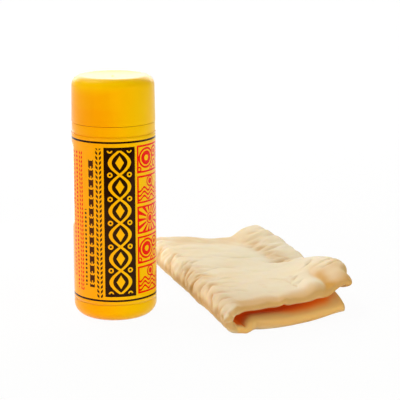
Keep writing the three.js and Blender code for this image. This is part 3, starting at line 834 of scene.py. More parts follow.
class SCENE_OT_canister_label(bpy.types.Operator):
    """The printed film wrapped round the tube, with its ends lapped at the back"""

    bl_idname = "chamois.canister_label"
    bl_label = "Canister label"

    columns = 420
    rows = 60

    def execute(self, context):
        sizes = context.scene.canister_sizes
        inner = LABEL_BOX[1].x - sizes.film
        low, high = LABEL_BOX[0].z, LABEL_BOX[1].z
        around, tall = 2 * math.pi * inner + sizes.lap, high - low
        across = np.linspace(-0.5, 0.5, self.columns + 1) * around
        along = np.linspace(0, 1, self.rows + 1) * tall
        u, v = np.meshgrid(across, along)
        angle = u / inner
        # The upper end climbs over the lower one, on a little glue.
        lapped, climb_run, glue = around / 2 - sizes.lap, 4 * MM, 0.08 * MM
        climb = (sizes.film + glue) * smooth(u, lapped - climb_run, lapped)
        ripple = 0.05 * MM * np.sin(u / (9 * MM) + 2 * np.sin(v / (31 * MM)))
        ripple += 0.04 * MM * np.sin(u / (5 * MM) - v / (23 * MM))
        # Its lower edge has come away a little, at the right of the front.
        loose, loose_at, wide, high_up = 0.5 * MM, inner * math.radians(68), 9 * MM, 6 * MM
        proud = loose * rise(u, loose_at, wide) * rise(v, 0, high_up)
        radius = inner + climb + ripple + proud
        points = np.stack([radius * np.sin(angle), -radius * np.cos(angle), low + v], axis=-1)
        thing = sheet_mesh("label_film", points)
        flat = thing.data.uv_layers.new(name="label")
        corners = np.zeros(len(thing.data.loops), np.int32)
        thing.data.loops.foreach_get("vertex_index", corners)
        places = np.stack([u / around + 0.5, v / tall], axis=-1).reshape(-1, 2)
        flat.data.foreach_set("uv", places[corners].astype(np.float32).ravel())
        film = printed_film("printed_film", context.scene.chamois_finishes, around, tall)
        thing.data.materials.append(film)
        thicken(thing, sizes.film, 1.0)
        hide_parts("canister_label")
        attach(thing, "canister")
        return {"FINISHED"}


def smooth(value, low, high):
    """From nothing to one between two values, with soft ends."""
    share = np.clip((value - low) / (high - low), 0, 1)
    return share * share * (3 - 2 * share)


def rise(value, place, reach):
    """A rounded rise of one that fades to nothing past a reach on either side."""
    return np.exp(-(((value - place) / reach) ** 2))


def sheet_mesh(name, points):
    """A grid of points as a smooth sheet, one point thick."""
    rows, columns = points.shape[:2]
    order = np.arange(rows * columns).reshape(rows, columns)
    corners = [order[:-1, :-1], order[:-1, 1:], order[1:, 1:], order[1:, :-1]]
    faces = np.stack(corners, axis=-1).reshape(-1, 4)
    thing = mesh_from(name, points.reshape(-1, 3), faces.tolist())
    thing.data.shade_smooth()
    return thing


def thicken(thing, thickness, offset):
    """Gives a sheet its thickness and keeps the result as a plain mesh."""
    wall = thing.modifiers.new("thickness", "SOLIDIFY")
    wall.thickness, wall.offset, wall.use_even_offset = thickness, offset, False
    plain_mesh(thing, wall)


# Rises and dips of the top panel. Each row has a place across and along the block, a reach across
# and along it, as shares of the fold's width and of half the sheet's length, and a rise as a
# share of the top height.
TOP_FORM_SHARES = (
    (1.08, 0.2, 0.25, 0.23, 0.73),
    (1.04, 0.54, 0.17, 0.09, -0.19),
    (1.04, 0.7, 0.17, 0.08, -0.06),
    (1.0, 1.0, 0.17, 0.12, 0.17),
    (0.66, 1.0, 0.25, 0.22, -0.28),
    (0.26, 0.05, 0.3, 0.12, -0.05),
    (0.36, 0.5, 0.3, 0.3, 0.07),
    (1.06, 0.0, 0.08, 0.05, -0.08),
    (0.06, 0.0, 0.08, 0.05, -0.09),
)

# Where the top panel's near crease is fuller or tighter, in millimetres: a place across the
# block, a reach and a change of the crease's radius.
TOP_CREASE_FORMS = ((8.5, 4.5, 3.6), (24, 6, -0.3), (38, 8, 0.3), (50.5, 2.6, -1.5),
                    (62, 8, 0.4), (86, 9, 2.5), (100, 8, 1.2))

# Broad zones of the top panel that are painted a deeper tone, as painted shade. Each row has a
# place across and along the block and a reach across and along it, in millimetres, and a share.
TOP_SHADE_ZONES = (
    (45, 205, 70, 32, 0.45),
    (92, 118, 10, 20, 0.6),
    (89, 156, 9, 26, 0.5),
    (93, 26, 6, 24, 0.75),
    (104, 6, 16, 10, 0.6),
    (113, 22, 13, 28, 0.95),
)

# Single creases and puckers of the top panel, in millimetres. Each row has a place across and
# along the block, the direction that it runs in, in degrees from the near edge, its half length,
# its half width and its rise.
TOP_PUCKERS = (
    (90, 44, 80, 9, 3.8, -1.1),
    (91, 28, 92, 12, 5.0, -1.4),
    (90, 10, 86, 11, 5.0, -1.4),
    (96, 18, 85, 15, 7.0, -1.4),
    (81, 20, 88, 17, 4.5, 1.3),
    (73, 38, 35, 7, 1.5, -0.7),
    (75, 31, 20, 6, 1.3, -0.6),
    (71, 24, 50, 6, 1.4, -0.6),
    (77, 36, 60, 6, 1.3, 0.5),
    (98, 65, 48, 9, 1.7, -1.5),
    (94, 63, 40, 7, 1.4, 0.6),
    (103, 50, 20, 8, 1.5, -1.2),
    (107, 40, 10, 9, 1.7, -1.2),
    (110, 52, 60, 8, 1.8, -1.0),
    (88, 100, -35, 9, 3.4, -1.2),
    (95, 92, -25, 9, 3.2, -0.9),
    (90, 112, 30, 10, 3.6, -1.1),
    (98, 120, 35, 9, 3.4, -0.9),
    (100, 103, 40, 7, 2.8, 0.7),
    (84, 154, 28, 10, 3.2, -1.0),
    (92, 161, 30, 9, 2.8, -0.8),
    (91, 149, 25, 9, 2.8, -0.8),
    (99, 156, 24, 9, 3.0, -0.8),
    (88, 138, 30, 9, 3.4, -0.9),
    (96, 133, 32, 9, 2.8, -0.7),
    (87, 173, 28, 10, 3.2, -0.9),
    (97, 179, 22, 10, 2.8, -0.8),
    (92, 191, 25, 12, 3.4, -0.8),
    (60, 124, 4, 22, 3.0, -0.5),
    (34, 132, -8, 18, 2.6, -0.45),
    (30, 96, -14, 20, 3.0, -0.5),
    (52, 74, 8, 24, 3.2, -0.5),
    (38, 44, 6, 22, 3.4, -0.5),
    (62, 150, 10, 20, 3.4, -0.5),
    (28, 166, 4, 16, 3.0, -0.55),
    (48, 190, -5, 20, 3.2, -0.5),
    (16, 180, 20, 9, 2.2, -0.7),
    (13, 150, 40, 8, 1.8, -0.8),
    (16, 122, 35, 9, 1.9, -0.9),
    (11, 112, 70, 8, 1.6, -0.9),
    (18, 92, 30, 9, 1.9, -0.7),
    (15, 66, 40, 9, 2.0, -0.7),
    (20, 12, 15, 14, 4.0, -0.7),
    (50.5, 0, 90, 5, 2.6, 1.9),
    (87, 0, 90, 9, 8.0, -1.5),
)

# Where the near edge of each panel stands out or draws back, in millimetres: a place across the
# block, a half width and how far back.
TOP_LIP = ((10, 6, 2.0), (26, 6, -1.2), (40, 4, 1.2), (50, 7, -1.2), (63, 5, 1.4), (76, 8, -1.0),
           (84, 4, 0.5), (94, 7, -0.8))
LOW_LIP = ((17, 6, -2.2), (25.5, 3.5, 2.6), (41, 12, -1.6), (66, 8, 0.8), (86, 9, -0.8),
           (62, 45, -4.5))

# Pleats that cross the rim of the left bend, in millimetres: how far round the fold from the low
# panel's right end, a half width and how far back.
RIM_PLEATS = ((113.5, 2.4, 1.1), (106, 2.4, 1.3))

# Pinched creases, in millimetres. Each has a half width, a depth, and the points that it runs
# through: how far round the fold from the low panel's right end, and how far along the block.
CREASES = (
    (1.7, 1.5, ((121, 156), (113, 148), (109, 145), (104, 142))),
    (1.3, 0.9, ((117, 166), (112, 168.5))),
    (1.4, 1.0, ((110, 137), (106.5, 130), (104, 123))),
    (1.6, 1.5, ((125, 129), (118.5, 122), (115, 118), (111, 111))),
    (1.5, 1.4, ((121, 112), (116, 107.5), (111, 104))),
    (1.2, 0.7, ((114, 115), (117, 107))),
    (1.6, 1.5, ((119, 99), (113.5, 98), (109.5, 96), (106, 91))),
    (1.3, 0.9, ((120, 85), (115, 84))),
    (1.5, 1.1, ((117, 78), (111.5, 81), (106, 82))),
    (1.9, 1.8, ((119.5, 63), (114, 62.5), (110, 60), (103, 55))),
    (1.5, 1.0, ((120, 55), (115, 47.5), (112, 44))),
    (1.7, 1.4, ((116, 40), (110, 31), (105, 26), (101, 24))),
    (1.5, 0.9, ((118, 22), (112, 17), (107, 15))),
    (1.8, 1.2, ((110, 3), (104, -3))),
    (1.8, 1.1, ((101, 6), (97, 0), (102, -4))),
    (1.4, 0.8, ((119, 186), (112, 183), (107, 178))),
    (1.4, 0.9, ((118, 203), (111, 199))),
    (1.4, 0.7, ((105, 113), (101, 107), (98, 104))),
    (1.4, 0.8, ((104, 71), (99, 66))),
    (1.4, 0.6, ((126, 64), (134, 66), (141, 65.5))),
    (1.4, 0.6, ((126, 51), (134, 55), (142, 52.5))),
    (1.4, 0.6, ((129, 42), (139, 42.5))),
    (1.5, 0.7, ((130, 33), (138, 32.5), (142, 26))),
    (1.2, 0.6, ((155, 40), (161, 40))),
    (1.1, 0.7, ((156.5, 35), (160, 31.5))),
    (1.1, 0.7, ((157.5, 22.5), (162, 19))),
    (1.6, 0.7, ((165, 54), (173, 52), (179, 45), (182, 34), (186, 24))),
    (1.1, 1.0, ((184.5, 48), (190, 51.5))),
    (1.2, 1.1, ((184, 40), (191, 46))),
    (1.1, 1.0, ((183, 30), (185.5, 27), (188, 24.5))),
    (3.8, 0.7, ((207, 205), (216, 201))),
    (4.0, 0.8, ((196, 182), (202, 179), (208, 177.5))),
    (3.6, 0.7, ((190, 168), (197, 170), (203, 172))),
    (3.4, 1.0, ((193, 157), (201, 161), (209, 163.5))),
    (3.8, 0.9, ((199, 149), (208, 155), (216, 160))),
    (4.4, 1.0, ((204, 136), (208, 127), (214, 117))),
    (3.8, 1.1, ((190, 108), (199, 113), (206, 115))),
    (4.4, 1.0, ((201, 99), (208, 106), (216, 108))),
    (2.4, 0.8, ((194, 126), (200, 122), (203, 118))),
    (1.3, 0.7, ((184, 113), (186, 102), (187, 90))),
    (1.1, 0.9, ((204, 61), (210, 65), (216, 69))),
    (1.0, 0.8, ((206, 67), (212, 71), (216, 75))),
    (1.3, 0.6, ((211, 55.5), (217, 46.5))),
    (1.2, 0.8, ((215, 39), (221, 41.5))),
    (1.2, 0.6, ((209, 42), (215, 35.5))),
    (2.2, 0.35, ((147, 137), (162, 126), (178, 123))),
    (2.2, 0.35, ((133, 113), (147, 96), (160, 79))),
    (2.2, 0.35, ((128, 168), (141, 163), (152, 163))),
    (2.4, 0.35, ((150, 190), (165, 186), (180, 188))),
)


class FoldedSheet:
    """Where each point of the flat sheet lies once it is doubled and folded, in millimetres.

    The sheet is doubled across its length, with the crease at the near edge. The double sheet is
    then folded in three across its width: a low panel, a bend at the left, a top panel, a loose
    roll at the right, and a panel that is turned in under the top one. A run is how far round
    the fold a point lies from the low panel's right end.
    """

    # Gaps between the layers, how far the top panel passes the low one, and how far the loose
    # roll is felt in the panels beside it.
    layer_gap = 0.9
    pair_gap = 1.4
    overhang = 8.0
    roll_fade = 30.0
    # Radius of the near crease, panel by panel, and how far back it closes.
    low_crease = 4.4
    low_end_crease = 3.3
    pocket_crease = 1.7
    bend_crease = 2.3
    top_crease = 2.3
    tuck_crease = 1.9
    least_crease = 1.5
    crease_fade = 26.0
    low_fade = 30.0
    crease_opening = 2.0
    # How gently the layers that show curve over, and where they droop.
    top_ease = 15.0
    low_ease = 15.0
    round_end = 1.0
    lip_droop = 0.8
    # How far back each part of the near edge lies.
    low_recess = 9.0
    top_recess = 10.0
    tuck_recess = 25.0
    corner_reach = 7.2
    # How the low panel's right end lifts.
    low_lift = 9.5
    low_lift_width = 60.0
    end_lift = 2.6
    # How the loose roll draws in at both its ends.
    near_draw = 7.2
    near_draw_length = 46.0
    back_draw = 5.0
    back_draw_length = 40.0
    # The valley beside the loose roll.
    valley_depth = 2.4
    valley_width = 9.0
    valley_place = 83.0
    valley_start = 90.0
    # How far in the inside of the fold is painted dark, as painted shade, and how much more
    # or less it is by place.
    dark_reach = 29.0
    dark_left = 15.0
    dark_middle = 14.0
    dark_right = 9.0
    # Greatest share of the painted shade in the cloth's wrinkles: in creases, in those of the top
    # panel, in its dips and at its near edge.
    crease_tone = 0.64
    top_crease_tone = 0.44
    dip_tone = 0.7
    near_tone = 0.7

    def __init__(self, sizes):
        for name in ("thickness", "width", "fold_width", "fold_reach", "top_height",
                     "roll_radius"):
            setattr(self, name, getattr(sizes, name) / MM)
        self.half_length = sizes.length / MM / 2
        self.wrinkle = sizes.wrinkle
        self.pair_pitch = 2 * self.thickness + self.layer_gap + self.pair_gap
        self.flat_half = (self.thickness + self.layer_gap) / 2
        self.bend_across = self.flat_half + self.thickness / 2 + self.fold_reach
        self.bend_start = self.fold_width - self.bend_across
        self.bend_run = math.pi / 2 * (self.fold_reach + self.top_height / 2)
        self.top_start = self.bend_start + self.bend_run
        self.top_run = self.fold_width + self.overhang - self.bend_across
        self.roll_start = self.top_start + self.top_run
        self.tuck_start = self.roll_start + math.pi * self.roll_radius

    def on_top(self, run, before, after):
        """From nothing to one where the sheet comes onto the top panel, and back at the roll."""
        return (smooth(run, self.top_start - before, self.top_start + after)
                * smooth(-run, -self.tuck_start, -self.roll_start))

    def turned_in(self, run):
        """From nothing to one where the sheet turns in under the top panel."""
        return smooth(run, self.roll_start + 2, self.tuck_start + 10)

    def pair_half(self, run, away):
        """Half the distance between the two layers, how far the sheet has come from the crease,
        and how high the pair's middle stands over its lower layer."""
        reach = self.fold_reach
        bend = smooth(run, self.bend_start - reach, self.bend_start + reach)
        top = smooth(run, self.top_start - reach, self.top_start + reach)
        roll = smooth(run, self.roll_start - self.roll_fade, self.roll_start)
        pocket = smooth(run, self.bend_start - 12, self.bend_start - 4.5)
        ended = smooth(-run, -25, -4)
        crease = self.low_crease + (self.low_end_crease - self.low_crease) * ended
        crease = crease + (self.pocket_crease - crease) * pocket
        crease = crease - 0.6 * rise(run, self.bend_start - 4.5, 1.6)
        crease = crease + (self.bend_crease - crease) * bend
        crease = crease + (self.top_crease - crease) * top
        across = run - self.top_start + self.bend_across
        for place, wide, change in TOP_CREASE_FORMS:
            crease = crease + top * (1 - roll) * change * rise(across, place, wide)
        crease = crease + (self.tuck_crease - crease) * self.turned_in(run)
        crease = np.maximum(crease, self.least_crease)
        quarter = math.pi / 2 * crease
        angle = np.minimum(away / crease, math.pi / 2)
        fade = self.low_fade + (self.crease_fade - self.low_fade) * bend
        closing = smooth(away, quarter, quarter + fade)
        stand = crease + (self.flat_half - crease) * closing
        rounded = away < quarter
        half = np.where(rounded, crease * np.sin(angle), stand)
        come = np.where(rounded, crease * (1 - np.cos(angle)), crease + away - quarter)
        return half, come, stand

    def eased(self, side, run, half, come, stand):
        """Half the distance again, where the layer that shows curves over more gently."""
        on_low = 1 - smooth(run, self.bend_start - 14, self.bend_start - 6)
        reach = np.where(side > 0, self.top_ease * self.on_top(run, 8, 6), self.low_ease * on_low)
        share = np.clip(come / np.maximum(reach, 0.01), 0, 1)
        round_end = np.minimum(self.round_end, stand)
        over = round_end + (stand - round_end) * np.sqrt(1 - (1 - share) ** 2)
        lesser = (np.maximum(half, 0.001) ** -5 + over ** -5) ** -0.2 * 2 ** (share / 5)
        half = np.where(reach > 0.01, lesser, half)
        fuller = 0.65 * rise(run, self.bend_start + 0.6 * self.bend_run, 7) * np.exp(-come / 12)
        return half * np.where(side < 0, 1 + fuller, 1)

    def along_block(self, run, come):
        """Where the sheet lies along the block, from how far it has come from the crease."""
        width = self.low_lift_width
        low = self.low_recess * smooth(-run, -width, 0)
        top = self.top_recess * smooth(run, self.roll_start - width, self.roll_start)
        corner = self.corner_reach * rise(run, self.bend_start + self.bend_run / 3, self.bend_run)
        turned_in = self.tuck_recess * self.turned_in(run)
        fade = 1 - come / self.half_length
        on_low = smooth(-run, -self.bend_start - 4, -self.bend_start + 6)
        across = run - self.top_start + self.bend_across
        lip = self.on_top(run, 6, 4) * drawn_back(across, TOP_LIP)
        lip = lip + on_low * drawn_back(self.fold_width - run, LOW_LIP)
        lip = np.exp(-come / 14) * lip + self.rim_pleats(run, come)
        return come + low + top + (turned_in - corner) * fade + self.wrinkle * lip

    def rim_pleats(self, run, come):
        """How far the pleats draw the left bend's rim back."""
        return np.exp(-come / 6) * drawn_back(run, RIM_PLEATS)

    def roll_centre(self, along):
        """Middle of the loose roll at the right."""
        near = self.near_draw * (1 - smooth(along, 0, self.near_draw_length))
        near = near + self.wrinkle * 3.2 * rise(along, 25, 7)
        end = self.half_length
        back = self.back_draw * smooth(along, end - self.back_draw_length, end)
        return self.fold_width + self.overhang - near - back

    def top_centre(self, across, along):
        """Height of the middle of the top panel's double sheet."""
        width, length = self.fold_width, self.half_length
        height = self.top_height + sum(
            share * self.top_height
            * rise(across, place * width, reach * width)
            * rise(along, far * length, far_reach * length)
            for place, far, reach, far_reach, share in TOP_FORM_SHARES
        )
        opened = smooth(along, self.valley_start, self.valley_start + 2 * self.valley_width)
        furrow = self.valley_depth * opened * rise(across, self.valley_place, self.valley_width)
        droop = self.lip_droop * (1 - smooth(along, -2, 14))
        return height - furrow - droop + self.wrinkle * self.top_relief(across, along)

    def top_relief(self, across, along):
        """Wrinkles of the top panel."""
        relief = np.zeros(np.broadcast(across, along).shape)
        for place, far, turn, long, wide, height in TOP_PUCKERS:
            cos, sin = math.cos(math.radians(turn)), math.sin(math.radians(turn))
            forward = (across - place) * cos + (along - far) * sin
            aside = (along - far) * cos - (across - place) * sin
            aside = aside - 0.02 * forward * forward / wide
            relief += height * rise(forward, 0, long) * rise(aside, 0, wide)
        strip = smooth(across, 84, 96) * smooth(along, 92, 112)
        forward, aside = 0.9 * across + 0.43 * along, 0.9 * along - 0.43 * across
        relief += strip * 0.9 * clouds(forward * 0.38, aside, 5.5, 5)
        relief += 0.5 * clouds(across * 0.4, along * 1.3, 20, 1)
        relief += 0.16 * clouds(across * 0.6, along * 1.2, 7, 2)
        return relief

    def low_centre(self, across, along, stand):
        """Height of the middle of the lowest panel's double sheet."""
        right = smooth(across, self.fold_width - self.low_lift_width, self.fold_width)
        front = 1 - smooth(along, 52, 92)
        near = (0.03 + 0.97 * smooth(along, 0, 42)) * front
        lift = self.low_lift * right * near + self.end_lift * smooth(across, 66, 104) * front
        swell = self.wrinkle * 0.5 * (0.5 + 0.5 * clouds(across, along * 0.6, 14, 4))
        return self.thickness / 2 + stand + lift + swell * smooth(lift, 0, 2)

    def gather(self, run, along):
        """How far the outside stands out: pinched creases, and fine ones round the left bend."""
        share = (run - self.bend_start) / self.bend_run
        slant = along + 16 * (share - 0.9) ** 2 + 9 * share
        window = smooth(share, 0.05, 0.5) * smooth(-share, -1.4, -0.95)
        fine = clouds(share * 2.2, slant / 7.5, 1, 6) + 0.5 * clouds(share * 4, slant / 3.6, 1, 7)
        relief = 1.1 * window * fine
        for half, depth, line in CREASES:
            apart, place = distance_to_line(run, along, line)
            strength = np.sqrt(np.clip(4.4 * place * (1 - place) + 0.06, 0, 1))
            apart = apart / (half * (0.8 + 0.2 * strength))
            border = 0.3 if half < 2 else 0.1
            fold = border * rise(apart, 2.1, 1.3) - rise(apart, 0, 1)
            relief = relief + 0.9 * depth * strength * fold
        return self.wrinkle * relief

    def path(self, run, along, stand):
        """The middle of the double sheet: its place across the block and its height."""
        bend, radius = self.bend_across, self.roll_radius
        low_across = self.fold_width + (bend - self.fold_width) * run / self.bend_start
        angle = math.pi * (run - self.bend_start) / self.bend_run
        foot = self.low_centre(bend, along, stand)
        head = self.top_centre(bend, along)
        right = self.roll_centre(along)
        top_across = bend + (right - bend) * (run - self.top_start) / self.top_run
        roll_angle = (run - self.roll_start) / radius
        inward = run - self.tuck_start
        opening = 1 - smooth(along, self.crease_fade, 2 * self.crease_fade)
        under = self.pair_pitch + self.crease_opening * opening
        drop = 2 * radius + (under - 2 * radius) * smooth(inward, 0, self.roll_fade)
        starts = (self.bend_start, self.top_start, self.roll_start, self.tuck_start)
        before = [run < start for start in starts]
        across = np.select(before, [
            low_across,
            bend - self.fold_reach * np.sin(angle),
            top_across,
            right + radius * np.sin(roll_angle),
        ], right - inward)
        height = np.select(before, [
            self.low_centre(low_across, along, stand),
            (foot + head) / 2 - (head - foot) / 2 * np.cos(angle),
            self.top_centre(top_across, along),
            self.top_centre(right, along) + radius * (np.cos(roll_angle) - 1),
        ], self.top_centre(right - inward, along) - drop)
        return across, height

    def hollow_shades(self, length, run):
        """From nothing to one, how much painted shade each point of the outside has: in wrinkles
        and dips, in broad zones of the top panel, at its near edge and by the rim's pleats.
        """
        _, come, stand = self.pair_half(run, np.abs(length - self.half_length))
        along = self.along_block(run, come)
        across, _ = self.path(run, along, stand)
        on_top = smooth(run, self.top_start - 6, self.top_start + 6)
        share = self.crease_tone + (self.top_crease_tone - self.crease_tone) * on_top
        pinched = share * smooth(-self.gather(run, along), 0.05, 1.3)
        dip = smooth(-self.wrinkle * self.top_relief(across, along), 0.4, 3.2)
        tone = sum(
            share * rise(across, place, reach) * rise(along, far, far_reach)
            for place, far, reach, far_reach, share in TOP_SHADE_ZONES
        )
        uneven = 0.75 + 0.35 * clouds(across, along, 9, 8)
        edge = 20 + 5 * clouds(across, along, 12, 9)
        near = self.near_tone * (1 - smooth(along, 2, edge))
        tone = np.maximum(tone * uneven, near) + 0.3 * self.rim_pleats(run, come)
        dipped = self.dip_tone * on_top * dip
        return np.clip(np.maximum(pinched, dipped) + on_top * tone, 0, 1)

    def fold_shades(self, length, run):
        """From nothing to one, how dark the inside of the fold is painted at each point, as
        painted
        shade: darker the deeper it lies inside the near end.
        """
        turned_in = run > self.roll_start
        inner = np.where(turned_in, smooth(run, self.tuck_start - 1, self.tuck_start + 14), 1)
        inward = length - self.half_length
        away = np.abs(inward)
        left = smooth(run, self.bend_start - 12, self.bend_start)
        right = 1 - smooth(run, 42, 62)
        reach = self.dark_reach - self.dark_left * left
        reach = reach + self.dark_middle * rise(run, 74, 12) - self.dark_right * right
        low = 1 - smooth(run, self.bend_start - 4, self.bend_start + 6)
        deep = np.where(turned_in, 1.0, smooth(inward, 1 - 12 * low, reach))
        deep = deep * smooth(-away, -120, -60)
        end = 1 - 0.6 * smooth(-run, -16, 0)
        foot = 0.8 * rise(run, self.bend_start - 4.8, 1.8) * (inward > 0)
        return np.maximum(inner * deep * end, foot * smooth(away, 0, 4))

    def points(self, length, run, step=1.0):
        """Points in the middle of the sheet's thickness, in the block's own frame."""
        side = np.where(length < self.half_length, 1.0, -1.0)
        half, come, stand = self.pair_half(run, np.abs(length - self.half_length))
        along = self.along_block(run, come)
        across, height = self.path(run, along, stand)
        ahead, behind = [self.path(run + way, along, stand) for way in (step, -step)]
        heading = np.stack([ahead[0] - behind[0], ahead[1] - behind[1]])
        heading /= np.hypot(*heading)
        higher, lower = [self.path(run, along + way, stand)[1] for way in (1, -1)]
        slope = np.clip((higher - lower) / 2, -1, 1)
        half = self.eased(side, run, half, come, stand) * np.sqrt(1 + slope ** 2)
        offset = side * half + self.gather(run, along)
        lying = np.maximum(height + offset * heading[0], self.thickness / 2)
        return np.stack([across - offset * heading[1], along, lying], axis=-1)


def drawn_back(value, forms):
    """How far an edge draws back at a value, from rows of a place, a half width and how far."""
    return sum(back * rise(value, place, half) for place, half, back in forms)


def distance_to_line(across, along, line):
    """How far each point is from a line through some points, and how far on, from 0 to 1."""
    nearest = np.full(np.broadcast(across, along).shape, np.inf)
    place = np.zeros(nearest.shape)
    whole = sum(math.dist(start, end) for start, end in zip(line, line[1:]))
    done = 0.0
    for (x, y), (far_x, far_y) in zip(line, line[1:]):
        wide, tall = far_x - x, far_y - y
        share = ((across - x) * wide + (along - y) * tall) / (wide ** 2 + tall ** 2)
        share = np.clip(share, 0, 1)
        gap = np.hypot(across - x - share * wide, along - y - share * tall)
        stretch = math.hypot(wide, tall)
        place = np.where(gap < nearest, (done + share * stretch) / whole, place)
        nearest = np.minimum(nearest, gap)
        done += stretch
    return nearest, place


def clouds(across, along, size, seed):
    """Smooth noise from minus one to one over the block, with lumps of a size in millimetres."""
    across, along = np.broadcast_arrays(across, along)
    x = across / size + 17.3 * seed
    y = along / size - 9.1 * seed
    column, row = np.floor(x).astype(int), np.floor(y).astype(int)
    table = np.random.default_rng(400 + seed).uniform(-1, 1, (64, 64))
    u, v = x - column, y - row
    u, v = u * u * (3 - 2 * u), v * v * (3 - 2 * v)
    low, high = [
        table[line % 64, column % 64] * (1 - u) + table[line % 64, (column + 1) % 64] * u
        for line in (row, row + 1)
    ]
    return low * (1 - v) + high * v


def spread(stops):
    """Values from stop to stop. Each stop has a value and the spacing up to the next one."""
    values = []
    for (low, spacing), (high, _) in zip(stops, stops[1:]):
        values.extend(np.linspace(low, high, max(1, round((high - low) / spacing)) + 1)[:-1])
    return np.array(values + [stops[-1][0]])


class SCENE_OT_chamois_cloth(bpy.types.Operator):
    """The cloth: one flat sheet, doubled, folded in three and wrinkled"""

    bl_idname = "chamois.chamois_cloth"
    bl_label = "Chamois cloth"

    # How much the light from the left and the front brightens a flank, the leans between which
    # it deepens, its greatest depth of tone, and how much the paper lights what faces down.
    from_left, from_front = 0.45, 0.3
    leans = (-0.93, -0.15)
    deepest, from_paper = 0.9, 0.5

    def execute(self, context):
        sizes = context.scene.cloth_sizes
        sheet = FoldedSheet(sizes)
        half = sheet.half_length
        outside = spread([(0, 0.8), (8, 1.3), (150, 1.6), (half, 1)])
        inside = spread([(0, 0.8), (8, 1.6), (34, 3.0), (half, 1)])
        lengths = np.concatenate([half - outside[:0:-1], half + inside])
        runs = spread([(0, 3.0), (sheet.bend_start - 6, 1.0), (sheet.top_start + 8, 1.7),
                       (sheet.roll_start - 4, 0.9), (sheet.tuck_start + 4, 3.6),
                       (sheet.width, 1)])
        length, run = np.meshgrid(lengths, runs)
        cloth = sheet_mesh("chamois_cloth_folded", sheet.points(length, run) * MM)
        # Painted shade: these marks darken the wrinkles, the inside of the fold and the flanks.
        self.mark(cloth, "hollow", sheet.hollow_shades(length, run))
        self.mark(cloth, "fold_shade", sheet.fold_shades(length, run))
        thicken(cloth, sizes.thickness, 0.0)
        self.mark(cloth, "flank", self.flanks(cloth))
        turn = Matrix.Rotation(sizes.turn, 4, "Z")
        cloth.data.transform(Matrix.Translation(sizes.corner) @ turn)
        chamois = synthetic_chamois("synthetic_chamois", context.scene.chamois_finishes)
        cloth.data.materials.append(chamois)
        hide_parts("chamois_cloth")
        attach(cloth, "cloth")
        return {"FINISHED"}

    def flanks(self, cloth):
        """From nothing to one, how far each point faces away from the light."""
        normals = np.zeros(3 * len(cloth.data.vertices))
        cloth.data.vertex_normals.foreach_get("vector", normals)
        right, back, up = normals.reshape(-1, 3).T
        lean = up - self.from_left * right - self.from_front * np.maximum(-back, 0)
        lit_below = 1 - self.from_paper * smooth(-up, 0.0, 0.7)
        return smooth(-lean, *self.leans) * self.deepest * lit_below

    def mark(self, cloth, name, values):
        """Keeps a value for each point, which the material reads."""
        layer = cloth.data.attributes.new(name, "FLOAT", "POINT")
        layer.data.foreach_set("value", values.astype(np.float32).ravel())


def paper(name, colour):
    """Matt white studio paper. Seen straight, in gloss or through plastic, it is pure white."""
    material, tree, shader = new_material(name)
    output = next(node for node in tree.nodes if node.type == "OUTPUT_MATERIAL")
    fill(tree, shader, {"Base Color": colour, "Roughness": 0.9, "Specular IOR Level": 0.0})
    glow = add(tree, "ShaderNodeEmission", ((1, 1, 1, 1), 1.0))
    path = add(tree, "ShaderNodeLightPath").outputs
    seen = either(tree, *[path[ray] for ray in (
        "Is Camera Ray", "Is Glossy Ray", "Is Transmission Ray")])
    whole = add(tree, "ShaderNodeMixShader", (both(tree, seen, 0.95), shader, glow))
    fill(tree, output, {"Surface": whole})
    return material


# Softboxes: a name, its place, the point that it faces, its size, its power in watts, its colour.
SOFTBOXES = (
    ("softbox_top", (-0.5, 0.35, 1.2), (0.1, 0.05, 0.0), (0.6, 0.6), 5.2, "#ffffff"),
    ("softbox_left", (-1.2, -0.9, 0.5), (0.05, 0.0, 0.1), (0.9, 0.7), 9.4, "#fff2dc"),
    ("softbox_right", (1.15, -0.9, 0.45), (0.05, 0.0, 0.1), (0.7, 0.7), 6.8, "#fffade"),
    ("softbox_low", (0.2, -1.4, 0.09), (0.12, 0.0, 0.02), (0.9, 0.16), 3.0, "#fff4e0"),
    ("softbox_back", (0.0, 1.25, 0.62), (0.0, 0.0, 0.15), (1.9, 0.66), 9.6, "#ffffff"),
    ("softbox_edge", (-0.143, 0.281, 0.04), (0.0, 0.0, 0.04), (0.14, 0.08), 0.12, "#ffffff"),
)

# Where the camera stands, and how far it is turned to the right and dipped, in degrees.
CAMERA_PLACE = (0.0, -1.15419, 0.35614)
CAMERA_TURN, CAMERA_DIP = 3.366, 12.917


